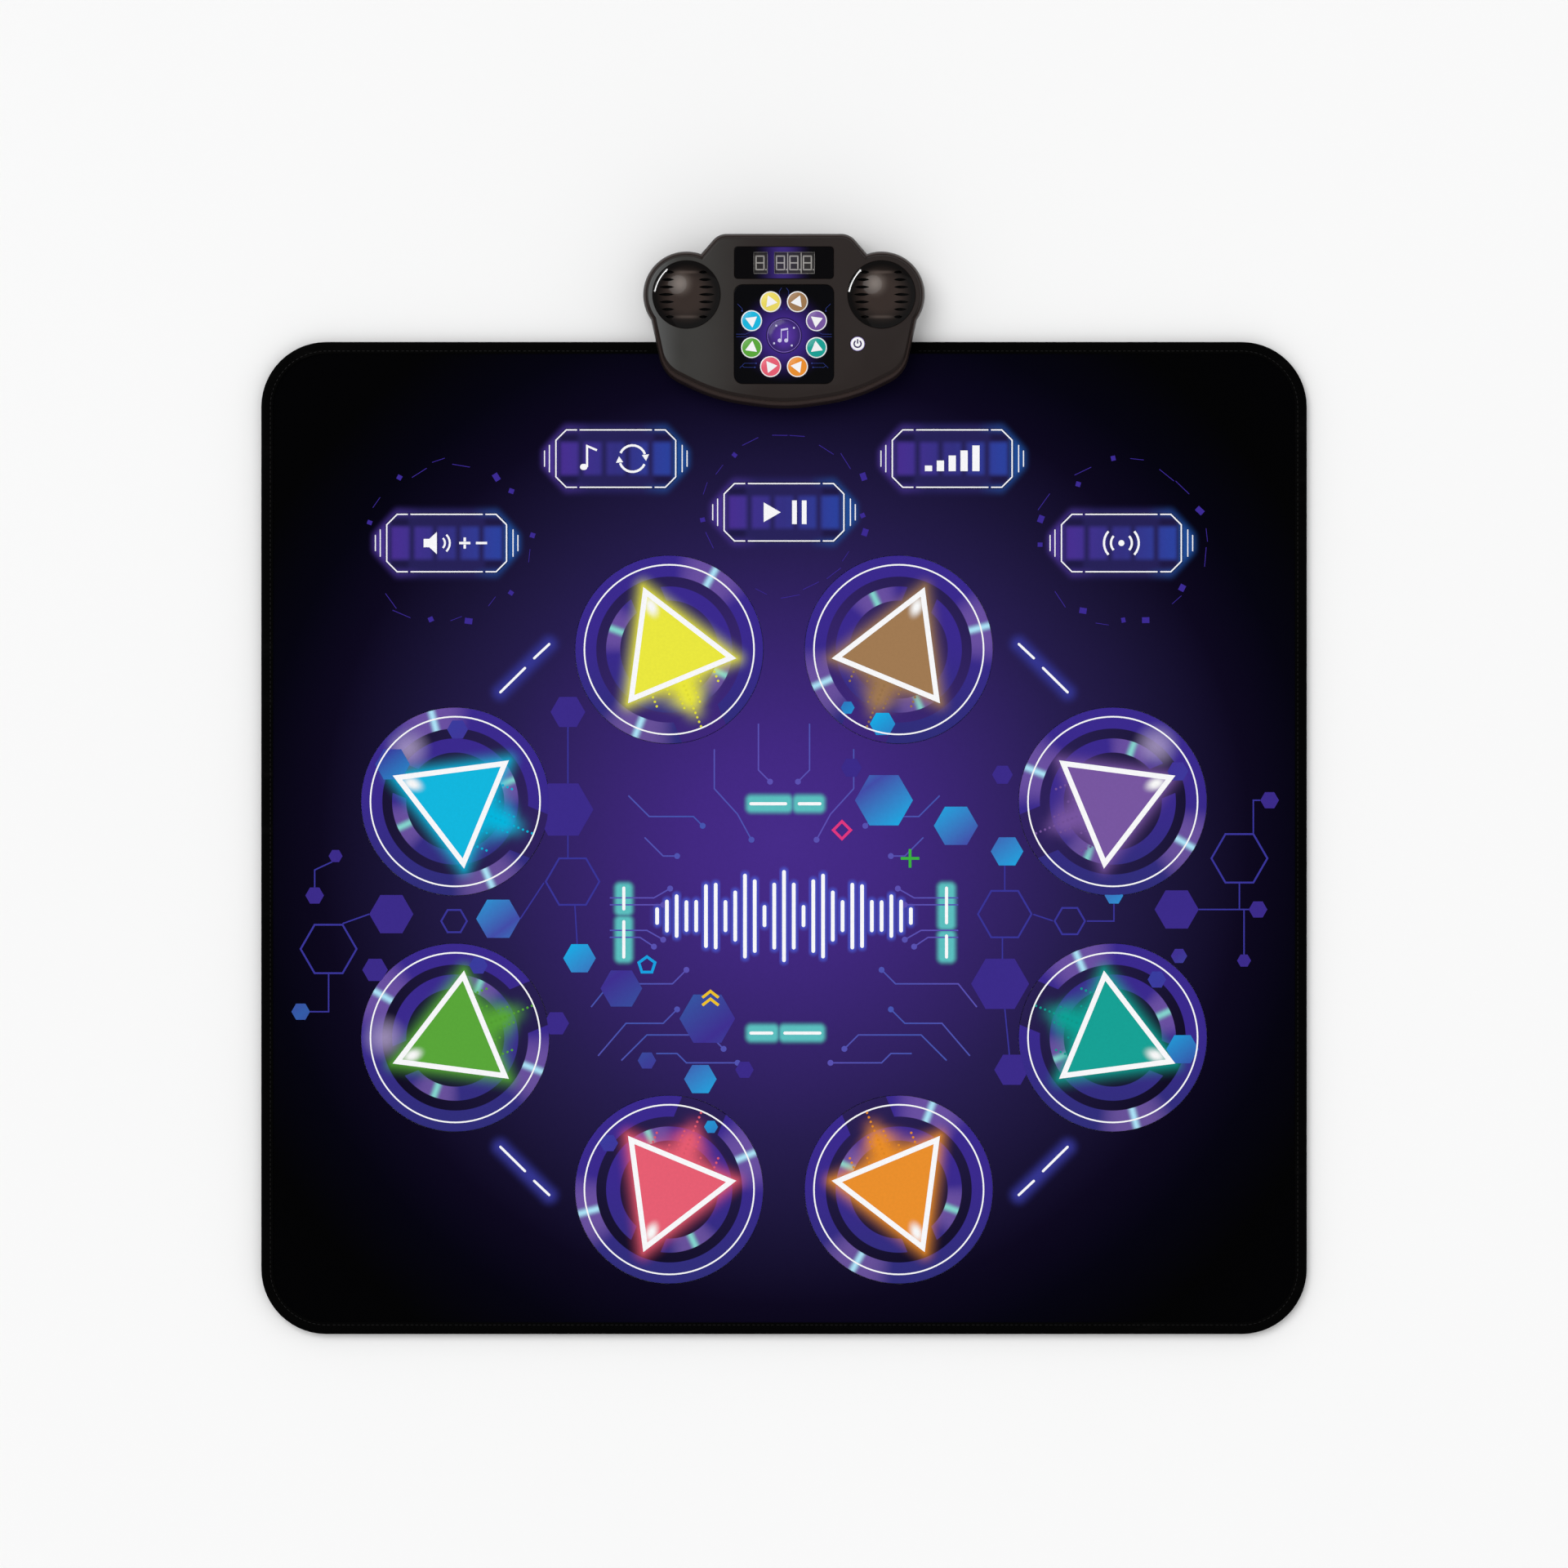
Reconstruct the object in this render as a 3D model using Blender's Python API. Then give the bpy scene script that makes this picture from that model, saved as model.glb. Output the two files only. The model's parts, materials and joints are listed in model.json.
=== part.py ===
"""Electronic dance mat: a soft pressure mat with thirteen pads, and the console on its rear edge.

Metres, +Z up. The origin is on the floor, in the middle of the whole outline.
+X is the right of a player who faces the console, and +Y runs towards the console.
"""

import math

import bmesh
import bpy
from mathutils import Vector

GAP = 0.0003
# How far a cutting shape reaches past what it cuts
PAST = 0.001

# The mat's outline
MAT_WIDTH = 0.900
MAT_FRONT = -0.4735
MAT_REAR = 0.3805
MAT_CORNER = 0.056
BINDING_WIDTH = 0.010
BINDING_WALL = 0.0006
CORNER_STEPS = 7

# The mat's layers, each as its lowest and highest level
BASE = (0.0, 0.0008)
CORE = (0.0011, 0.0041)
LOWER_FILM = (0.0044, 0.0048)
SPACER = (0.0051, 0.0066)
UPPER_FILM = (0.0069, 0.0072)
COVER = (0.0075, 0.0085)
BINDING_TOP = 0.0094
FILMS_REAR = 0.330
TAIL_THICKNESS = 0.0003

# The pads
PLAY_MIDDLE_Y = -0.1167
INNER_X = 0.0988
INNER_Y = 0.2324
OUTER_X = 0.2830
OUTER_Y = 0.1016
PAD_RADIUS = 0.0809
PAD_SIDE_GAP = 0.0004
PAD_STEPS = 28
HIDDEN_HOLE_STEPS = 14
PAD_BOTTOM = 0.0061
PAD_SHOULDER = 0.0082
PAD_TOP = 0.0095
PAD_ROUNDING = (0.0020, 0.0008)
PAD_SLOPE = 0.0160
ARROW_REACH = 0.0583
ARROW_RELIEF = 0.0003
CONTROL_SIZE = (0.1053, 0.0516)
CONTROL_CORNER = 0.0096
CONTROL_ROUNDING = (0.0015, 0.0006)
CONTROL_SLOPE = 0.0070

# The console's outline: the right half of the body, as x, y, corner radius and the share of an
# inset that the side after the corner takes, from the front middle round to the rear
FRONT_SHARE = 2.0
BODY_CORNERS = (
    (0.0, 0.3216, 0.150, FRONT_SHARE),
    (0.0600, 0.3300, 0.150, FRONT_SHARE),
    (0.1040, 0.3520, 0.030, 1.0),
    (0.1155, 0.4050, 0.006, 1.0),
    (0.0565, 0.4735, 0.016, 1.0),
)
LOBE = (0.0839, 0.4210)
LOBE_RADIUS = 0.0373
LOBE_STEPS = 24
FACE_INSET = 0.0047
FACE_LEVEL = 0.0400
WALL = 0.0022

# The console's levels
SHELL_SPLIT = 0.0160
FLOOR_REAR = 0.0030
FLOOR_FRONT = 0.0097
FLOOR_TOP_REAR = 0.0060
FLOOR_TOP_FRONT = 0.0119
STEP_Y = MAT_REAR + 0.0008
CLAMP_LAND = (0.066, 0.338, 0.367)
CLAMP_MARGIN = 0.012
CLAMP_CORNER = 0.006
CLAMP_SCREW = (0.056, 0.353)
TAIL_SLOT = (0.011, 0.3326, 0.3354)

# The shell's skirts and the room in them, as shares of the face inset against levels
CEILING = FACE_LEVEL - WALL
TOP_START = SHELL_SPLIT + GAP
TOP_SKIRT = ((0.0, TOP_START), (0.10, 0.0300), (0.35, 0.0355), (0.60, 0.0375), (1.0, FACE_LEVEL))
TOP_ROOM = ((0.0, TOP_START - PAST), (0.10, 0.0300), (0.60, CEILING - 0.001), (0.80, CEILING))
LOBE_ROOM = ((0.0, TOP_START - 2 * PAST), (0.10, 0.0300), (0.60, CEILING - 0.002), (0.80, CEILING - GAP))
UNDER_SKIRT = ((0.5, FLOOR_REAR), (0.0, 0.0070), (0.0, SHELL_SPLIT))

# Pieces in and on the console's face
WINDOW_SIZE = (0.0850, 0.0270)
WINDOW_Y = 0.4484
WINDOW_CORNER = 0.0027
PANEL_SIZE = (0.0854, 0.0849)
PANEL_Y = 0.3869
PANEL_CORNER = 0.0072
LEDGE = 0.0030
PLATE_THICKNESS = 0.0015
PLATE_PROUD = 0.0001
LENS_RING = 0.0302
LENS_RADIUS = 0.0090
LENS_STEPS = 16
CENTRE_LENS_RADIUS = 0.0150
CENTRE_LENS_Y = 0.3857
LENS_FLANGE = 0.0013
LENS_FLANGE_HEIGHT = 0.0012
LENS_DOME = ((1.0, 0.0004), (0.75, 0.0010), (0.0, 0.0012))
BUTTON = (0.0633, 0.3786)
BUTTON_RADIUS = 0.0060
BUTTON_STEM = (0.0025, 0.0330)
BUTTON_FLANGE = 0.0015
BUTTON_CAP = ((0.0, 0.0011), (-0.0006, 0.0016), (-BUTTON_RADIUS, 0.0018))
BUTTON_STEPS = 20
SWITCH_HALF = 0.003
SWITCH_TOP = 0.0314
GRILLE_RADIUS = 0.0288
GRILLE_RISE = 0.0100
GRILLE_FLANGE = 0.0310
GRILLE_WALL = 0.0018
GRILLE_FLANGE_HEIGHT = 0.0015
SLOT_PITCH = 0.0064
SLOT_WIDTH = 0.0026
SLOT_INNER = 0.0128
SLOT_OUTER = (0.0245, 0.0220, 0.0192, 0.0164)
SLOT_SUNK = 0.0005
DIGITS_Y = (0.4389, 0.4576)
SINGLE_DIGIT_X = (-0.0262, -0.0141)
TRIPLE_DIGIT_X = (-0.0084, 0.0264)
DIGITS_TOP = 0.0376

# Pieces inside the console
BOARD = (0.0270, 0.0286)
BOARD_RIGHT = ((0.020, 0.352), (0.020, 0.372), (0.070, 0.372), (0.070, 0.386), (0.052, 0.386), (0.052, 0.446))
BOARD_LEFT = ((-0.052, 0.446), (-0.052, 0.372), (-0.020, 0.372), (-0.020, 0.352))
BOARD_REAR = ((0.041, 0.446), (0.041, 0.4595), (-0.041, 0.4595), (-0.041, 0.446))
LAMP_HALF = 0.0016
LAMP_HEIGHT = 0.0020
CHIP_SPAN = ((0.020, 0.034), (0.382, 0.396))
CHIP_DEPTH = 0.0022
SUNK = 0.0008
CONNECTOR = (0.012, 0.373, 0.379, 0.0237)
TAIL_RUN = 0.0150
BOARD_POSTS = ((0.046, 0.378), (0.0375, 0.4555))
POST_RADIUS = 0.0023
SCREW_POST = (0.050, 0.4610)
SCREW_POST_RADIUS = 0.0042
SCREW_POST_TOP = 0.0240
SCREW_SHELF = 0.0200
SCREW_BOSS = (0.0015, 0.0036, 0.0384)
SCREW_HEAD = 0.0028
SCREW_SHANK = 0.0012
SCREW_HEAD_HEIGHT = 0.0020
SCREW_CHAMFER = (0.0010, 0.0008)
SCREW_TIP = 0.0335
SCREW_STEPS = 12
CELL_RADIUS = 0.00725
CELL_LENGTH = 0.0505
CELL_PITCH = 0.0156
CELL_LEVEL = 0.01385
CELL_NUB = (0.0028, 0.001)
CELL_STEPS = 14
BATTERY_BOX = (0.0335, 0.4070, 0.4630, 0.0063, 0.0229)
BATTERY_WALL = 0.0014
DOOR = (0.0327, 0.3993, 0.4702, 0.0030, 0.0056)
DOOR_TONGUE = (0.0345, 0.0043, 0.0050)
DOOR_SCREW_Y = 0.404
DOOR_BOSS_HALF = 0.005
DOOR_BOSS_FRONT = 0.4005
DOOR_BOSS_HEIGHT = 0.006
DOOR_RIB = (0.015, 0.0008, 0.0006)
DOOR_RIB_PITCH = 0.004
DOOR_SHELF = 0.0013
DOOR_SCREW_LEVELS = (0.0022, 0.0027, 0.0034)
FOOT = (0.078, 0.430)
FOOT_SIZE = (0.036, 0.012)
FOOT_CORNER = 0.006
FOOT_CHAMFER = 0.0008

BLACK_CLOTH = (0.004, 0.003, 0.003)
INDIGO = (0.045, 0.022, 0.180)
CONSOLE_PLASTIC = (0.040, 0.034, 0.030)
PAD_COLOURS = {
    "yellow": (0.84, 0.81, 0.045),
    "brown": (0.36, 0.195, 0.082),
    "purple": (0.184, 0.091, 0.356),
    "teal": (0.003, 0.356, 0.301),
    "orange": (0.831, 0.275, 0.024),
    "pink": (0.807, 0.109, 0.168),
    "green": (0.098, 0.381, 0.037),
    "blue": (0.001, 0.474, 0.737),
}
# Each arrow pad's place from the middle of the play field, and the way its spray points
ARROW_PADS = {
    "yellow": (-INNER_X, INNER_Y, -67.5),
    "blue": (-OUTER_X, OUTER_Y, -22.5),
    "green": (-OUTER_X, -OUTER_Y, 22.5),
    "pink": (-INNER_X, -INNER_Y, 67.5),
    "orange": (INNER_X, -INNER_Y, 112.5),
    "teal": (OUTER_X, -OUTER_Y, 157.5),
    "purple": (OUTER_X, OUTER_Y, 202.5),
    "brown": (INNER_X, INNER_Y, 247.5),
}
CONTROL_PADS = {
    "volume": (-0.2904, 0.2074),
    "mode": (-0.1448, 0.2801),
    "start": (0.0, 0.2339),
    "level": (0.1448, 0.2801),
    "wireless": (0.2904, 0.2074),
}


def clear_scene():
    for obj in list(bpy.data.objects):
        bpy.data.objects.remove(obj, do_unlink=True)


def finish(name, colour, roughness, metallic=0.0):
    made = bpy.data.materials.new(name)
    made.use_nodes = True
    shader = made.node_tree.nodes["Principled BSDF"]
    shader.inputs["Base Color"].default_value = (*colour, 1.0)
    shader.inputs["Roughness"].default_value = roughness
    shader.inputs["Metallic"].default_value = metallic
    return made


# Outlines, as lists of x and y
def rounded_corners(corners, inset=0.0, steps=6):
    """The outline with its sides moved inwards and its corners rounded. Corners run anticlockwise."""
    sides = []
    for i, (x, y, _, share) in enumerate(corners):
        start = Vector((x, y))
        along = (Vector(corners[(i + 1) % len(corners)][:2]) - start).normalized()
        inwards = Vector((-along.y, along.x))
        sides.append((start + inwards * inset * share, along))
    points = []
    for i, corner in enumerate(corners):
        (before, u), (after, v) = sides[i - 1], sides[i]
        turn = math.atan2(u.cross(v), u.dot(v))
        crossing = before + u * ((after - before).cross(v) / u.cross(v))
        radius = max(corner[2] - inset, GAP)
        reach = radius * math.tan(turn / 2)
        centre = crossing - u * reach + Vector((-u.y, u.x)) * radius
        first = math.atan2(-u.x, u.y)
        for k in range(steps + 1):
            angle = first + turn * k / steps
            points.append((centre.x + radius * math.cos(angle), centre.y + radius * math.sin(angle)))
    return points


def rectangle(width, depth, radius, middle=(0.0, 0.0), inset=0.0, steps=4):
    x, y = width / 2, depth / 2
    signs = ((1, -1), (1, 1), (-1, 1), (-1, -1))
    corners = [(middle[0] + a * x, middle[1] + b * y, radius, 1.0) for a, b in signs]
    return rounded_corners(corners, inset, steps)


def mat_outline(inset, rear=MAT_REAR):
    depth = rear - MAT_FRONT
    middle = (0.0, (rear + MAT_FRONT) / 2)
    return rectangle(MAT_WIDTH, depth, MAT_CORNER, middle, inset, CORNER_STEPS)


def octagon(middle=(0.0, 0.0), grow=0.0):
    x, y = (side / 2 + grow for side in CONTROL_SIZE)
    cut = CONTROL_CORNER + grow * (2 - math.sqrt(2))
    right = [(x - cut, -y), (x, -y + cut), (x, y - cut), (x - cut, y)]
    left = [(-a, b) for a, b in reversed(right)]
    return [(middle[0] + a, middle[1] + b) for a, b in right + left]


def circle(middle, radius, steps, first=0.0):
    angles = [first + 2 * math.pi * k / steps for k in range(steps)]
    return [(middle[0] + radius * math.cos(a), middle[1] + radius * math.sin(a)) for a in angles]


def body_outline(inset=0.0):
    left = [(-x, y, radius, 1.0) for x, y, radius, _ in reversed(BODY_CORNERS[1:])]
    shares = [1.0, 1.0, FRONT_SHARE, FRONT_SHARE]
    left = [(x, y, radius, share) for (x, y, radius, _), share in zip(left, shares)]
    return rounded_corners(list(BODY_CORNERS) + left, inset, 4)


# Solids, each added to a bmesh
def add_layers(bm, layers):
    """One closed body through flat outlines with equal numbers of points, from low to high."""
    loops = []
    for outline, level in layers:
        verts = [bm.verts.new((x, y, level)) for x, y in outline]
        loops.append([bm.edges.new((verts[i - 1], verts[i])) for i in range(len(verts))])
        if level is layers[0][1] or level is layers[-1][1]:
            bm.faces.new(verts)
    for lower, upper in zip(loops, loops[1:]):
        bmesh.ops.bridge_loops(bm, edges=lower + upper)


def add_prism(bm, outline, low, high):
    """A flat outline raised from low to high."""
    face = bm.faces.new([bm.verts.new((x, y, low)) for x, y in outline])
    raised = bmesh.ops.extrude_face_region(bm, geom=[face], use_keep_orig=True)
    moved = [item for item in raised["geom"] if isinstance(item, bmesh.types.BMVert)]
    bmesh.ops.translate(bm, vec=(0, 0, high - low), verts=moved)


def add_box(bm, x, y, z):
    add_prism(bm, [(x[0], y[0]), (x[1], y[0]), (x[1], y[1]), (x[0], y[1])], z[0], z[1])


def add_run(bm, section, start, end):
    """A section of x and z points carried along Y."""
    face = bm.faces.new([bm.verts.new((x, start, z)) for x, z in section])
    raised = bmesh.ops.extrude_face_region(bm, geom=[face], use_keep_orig=True)
    moved = [item for item in raised["geom"] if isinstance(item, bmesh.types.BMVert)]
    bmesh.ops.translate(bm, vec=(0, end - start, 0), verts=moved)


def add_turned(bm, profile, middle=(0.0, 0.0), steps=24, ring=False):
    """A profile of radius and level points turned about the upright line through middle."""
    verts = [bm.verts.new((middle[0] + r, middle[1], z)) for r, z in profile]
    pairs = list(zip(verts, verts[1:])) + ([(verts[-1], verts[0])] if ring else [])
    edges = [bm.edges.new(pair) for pair in pairs]
    bmesh.ops.spin(
        bm,
        geom=verts + edges,
        cent=(*middle, 0.0),
        axis=(0, 0, 1),
        angle=2 * math.pi,
        steps=steps,
        use_merge=True,
    )
    bmesh.ops.remove_doubles(bm, verts=bm.verts, dist=1e-6)


def new_object(name, bm, location=(0.0, 0.0, 0.0)):
    bmesh.ops.recalc_face_normals(bm, faces=bm.faces)
    mesh = bpy.data.meshes.new(name)
    bm.to_mesh(mesh)
    bm.free()
    mesh.shade_smooth()
    mesh.set_sharp_from_angle(angle=math.radians(35))
    obj = bpy.data.objects.new(name, mesh)
    obj.location = location
    bpy.context.scene.collection.objects.link(obj)
    return obj


def piece(name, bm, material, location=(0.0, 0.0, 0.0)):
    obj = new_object(name, bm, location)
    obj.data.materials.append(material)
    return obj


def join(target, name, bm, operation):
    """Adds or cuts a helper shape."""
    helper = new_object(name, bm, target.location)
    helper.hide_render = True
    helper.display_type = "WIRE"
    modifier = target.modifiers.new(name, "BOOLEAN")
    modifier.operation = operation
    modifier.solver = "EXACT"
    modifier.object = helper
    return helper


def weld(target):
    """Closes the hair-thin gaps that cuts with nearly shared corners can leave."""
    modifier = target.modifiers.new("weld", "WELD")
    modifier.merge_threshold = 0.00001


def both_sides(place):
    return ((side * place[0], place[1]) for side in (-1, 1))


def pad_centres():
    return {name: (x, PLAY_MIDDLE_Y + y) for name, (x, y, _) in ARROW_PADS.items()}


def add_pad_holes(bm, layer, steps):
    """The thirteen holes that the pads sit in. A hole of few sides is larger, to clear its pad."""
    low, high = layer[0] - GAP, layer[1] + GAP
    radius = PAD_RADIUS + PAD_SIDE_GAP
    if steps < PAD_STEPS:
        radius /= math.cos(math.pi / steps)
    for centre in pad_centres().values():
        add_prism(bm, circle(centre, radius, steps), low, high)
    for centre in CONTROL_PADS.values():
        add_prism(bm, octagon(centre, PAD_SIDE_GAP), low, high)


# The mat
def make_sheet(name, layer, material, inset, rear=MAT_REAR):
    bm = bmesh.new()
    add_prism(bm, mat_outline(inset, rear), *layer)
    return piece(name, bm, material)


def make_mat():
    inside = BINDING_WALL + GAP
    rubber = finish("anti_slip_cloth", (0.012, 0.012, 0.013), 0.9)
    foam = finish("grey_foam", (0.25, 0.25, 0.26), 0.95)
    film = finish("circuit_film", (0.55, 0.56, 0.58), 0.35)
    vinyl = finish("printed_cover", INDIGO, 0.55)

    make_sheet("anti_slip_base", BASE, rubber, BINDING_WIDTH + GAP)
    make_sheet("foam_core", CORE, foam, inside)
    make_sheet("lower_circuit_film", LOWER_FILM, film, BINDING_WIDTH, FILMS_REAR)
    for name, layer, material in (("spacer_foam", SPACER, foam), ("upper_circuit_film", UPPER_FILM, film)):
        sheet = make_sheet(name, layer, material, BINDING_WIDTH, FILMS_REAR)
        bm = bmesh.new()
        add_pad_holes(bm, layer, HIDDEN_HOLE_STEPS)
        join(sheet, name + "_holes", bm, "DIFFERENCE")

    cover = make_sheet("top_cover", COVER, vinyl, inside)
    bm = bmesh.new()
    add_pad_holes(bm, COVER, PAD_STEPS)
    low, high = COVER[0] - GAP, COVER[1] + GAP
    half, front, rear = TAIL_SLOT
    add_box(bm, (-half, half), (front, rear), (low, high))
    for centre in both_sides(CLAMP_SCREW):
        add_prism(bm, circle(centre, SCREW_SHANK + GAP, SCREW_STEPS), low, high)
    join(cover, "cover_holes", bm, "DIFFERENCE")


def make_binding():
    """Tape folded round the mat's edge, with a U-shaped section that the sheets end in."""
    tape = finish("binding_tape", BLACK_CLOTH, 0.8)
    bm = bmesh.new()
    add_prism(bm, mat_outline(0.0), 0.0, BINDING_TOP)
    binding = piece("edge_binding", bm, tape)
    web, inner = mat_outline(BINDING_WALL), mat_outline(BINDING_WIDTH)
    fold_low, fold_high = BINDING_WALL, BINDING_TOP - BINDING_WALL
    bm = bmesh.new()
    layers = [(inner, -PAST), (inner, fold_low), (web, fold_low)]
    layers += [(web, fold_high), (inner, fold_high), (inner, BINDING_TOP + PAST)]
    add_layers(bm, layers)
    join(binding, "room_for_sheets", bm, "DIFFERENCE")


def make_arrow_pads():
    """Low round domes, each with its arrow standing a little proud."""
    profile = (
        (0.0, PAD_BOTTOM),
        (PAD_RADIUS, PAD_BOTTOM),
        (PAD_RADIUS, PAD_SHOULDER),
        (PAD_RADIUS - PAD_ROUNDING[0], PAD_SHOULDER + PAD_ROUNDING[1]),
        (PAD_RADIUS - PAD_SLOPE, PAD_TOP),
        (0.0, PAD_TOP),
    )
    for name, (x, y) in pad_centres().items():
        material = finish(name + "_arrow", PAD_COLOURS[name], 0.5)
        bm = bmesh.new()
        add_turned(bm, profile, steps=PAD_STEPS)
        pad = piece(name + "_arrow_pad", bm, material, (x, y, 0.0))
        bm = bmesh.new()
        tip = math.radians(ARROW_PADS[name][2] + 180)
        arrow = circle((0.0, 0.0), ARROW_REACH, 3, tip)
        add_prism(bm, arrow, PAD_TOP - PAST, PAD_TOP + ARROW_RELIEF)
        join(pad, name + "_arrow_relief", bm, "UNION")


def make_control_pads():
    material = finish("control_pad", (0.06, 0.04, 0.30), 0.5)
    for name, (x, y) in CONTROL_PADS.items():
        bm = bmesh.new()
        layers = [
            (octagon(), PAD_BOTTOM),
            (octagon(), PAD_SHOULDER),
            (octagon(grow=-CONTROL_ROUNDING[0]), PAD_SHOULDER + CONTROL_ROUNDING[1]),
            (octagon(grow=-CONTROL_SLOPE), PAD_TOP),
        ]
        add_layers(bm, layers)
        piece(name + "_pad", bm, material, (x, y, 0.0))


def make_clamp():
    """The plate under the cover that the console is screwed to, and its two screws."""
    steel = finish("clamp_steel", (0.45, 0.45, 0.46), 0.4, 1.0)
    half, front, rear = CLAMP_LAND
    bm = bmesh.new()
    middle = (0.0, (front + rear) / 2)
    outline = rectangle(2 * (half + CLAMP_MARGIN), rear - front, CLAMP_CORNER, middle)
    add_prism(bm, outline, CORE[1] + GAP, COVER[0] - GAP)
    plate = piece("clamp_plate", bm, steel)
    bm = bmesh.new()
    for side in (-1, 1):
        place = (side * CLAMP_SCREW[0], CLAMP_SCREW[1])
        add_prism(bm, circle(place, SCREW_SHANK + GAP, SCREW_STEPS), CORE[1], COVER[0])
    join(plate, "clamp_plate_holes", bm, "DIFFERENCE")
    for side, word in ((-1, "left"), (1, "right")):
        seat = FLOOR_TOP_FRONT + GAP
        tip = CORE[1] + GAP
        top = seat + SCREW_HEAD_HEIGHT
        inwards, down = SCREW_CHAMFER
        profile = ((0.0, tip), (SCREW_SHANK, tip), (SCREW_SHANK, seat), (SCREW_HEAD, seat))
        profile += ((SCREW_HEAD, top - down), (SCREW_HEAD - inwards, top), (0.0, top))
        bm = bmesh.new()
        add_turned(bm, profile, steps=SCREW_STEPS)
        piece(word + "_clamp_screw", bm, steel, (side * CLAMP_SCREW[0], CLAMP_SCREW[1], 0.0))


# The console
def shell_layers(steps, shrink=0.0):
    return [(body_outline(shrink + share * FACE_INSET), level) for share, level in steps]


def add_lobes(bm, steps, shrink=0.0):
    for side in (-1, 1):
        rim = [(LOBE_RADIUS - shrink - share * FACE_INSET, level) for share, level in steps]
        profile = [(0.0, steps[0][1])] + rim + [(0.0, steps[-1][1])]
        add_turned(bm, profile, (side * LOBE[0], LOBE[1]), LOBE_STEPS)


def make_top_shell(plastic):
    bm = bmesh.new()
    add_layers(bm, shell_layers(TOP_SKIRT))
    shell = piece("console_top_shell", bm, plastic)
    bm = bmesh.new()
    add_lobes(bm, TOP_SKIRT)
    join(shell, "top_lobes", bm, "UNION")
    bm = bmesh.new()
    add_layers(bm, shell_layers(TOP_ROOM, WALL))
    join(shell, "top_hollow", bm, "DIFFERENCE")
    bm = bmesh.new()
    add_lobes(bm, LOBE_ROOM, WALL)
    join(shell, "top_lobe_hollows", bm, "DIFFERENCE")

    bm = bmesh.new()
    seat = FACE_LEVEL - PLATE_THICKNESS - GAP
    for size, y, radius in ((WINDOW_SIZE, WINDOW_Y, WINDOW_CORNER), (PANEL_SIZE, PANEL_Y, PANEL_CORNER)):
        pocket = rectangle(size[0] + 2 * GAP, size[1] + 2 * GAP, radius, (0.0, y))
        hole = rectangle(size[0] - 2 * LEDGE, size[1] - 2 * LEDGE, radius, (0.0, y))
        add_layers(bm, [(hole, CEILING - PAST), (hole, seat), (pocket, seat), (pocket, FACE_LEVEL + PAST)])
    for place in both_sides(LOBE):
        add_prism(bm, circle(place, GRILLE_RADIUS + GAP, LOBE_STEPS), CEILING - PAST, FACE_LEVEL + PAST)
    add_prism(bm, circle(BUTTON, BUTTON_RADIUS + GAP, BUTTON_STEPS), CEILING - PAST, FACE_LEVEL + PAST)
    join(shell, "face_openings", bm, "DIFFERENCE")
    weld(shell)

    bm = bmesh.new()
    bore, wide, top = SCREW_BOSS
    low = SCREW_POST_TOP + GAP
    for place in both_sides(SCREW_POST):
        add_turned(bm, ((bore, low), (wide, low), (wide, top), (bore, top)), place, SCREW_STEPS, ring=True)
    join(shell, "screw_bosses", bm, "UNION")


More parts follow.
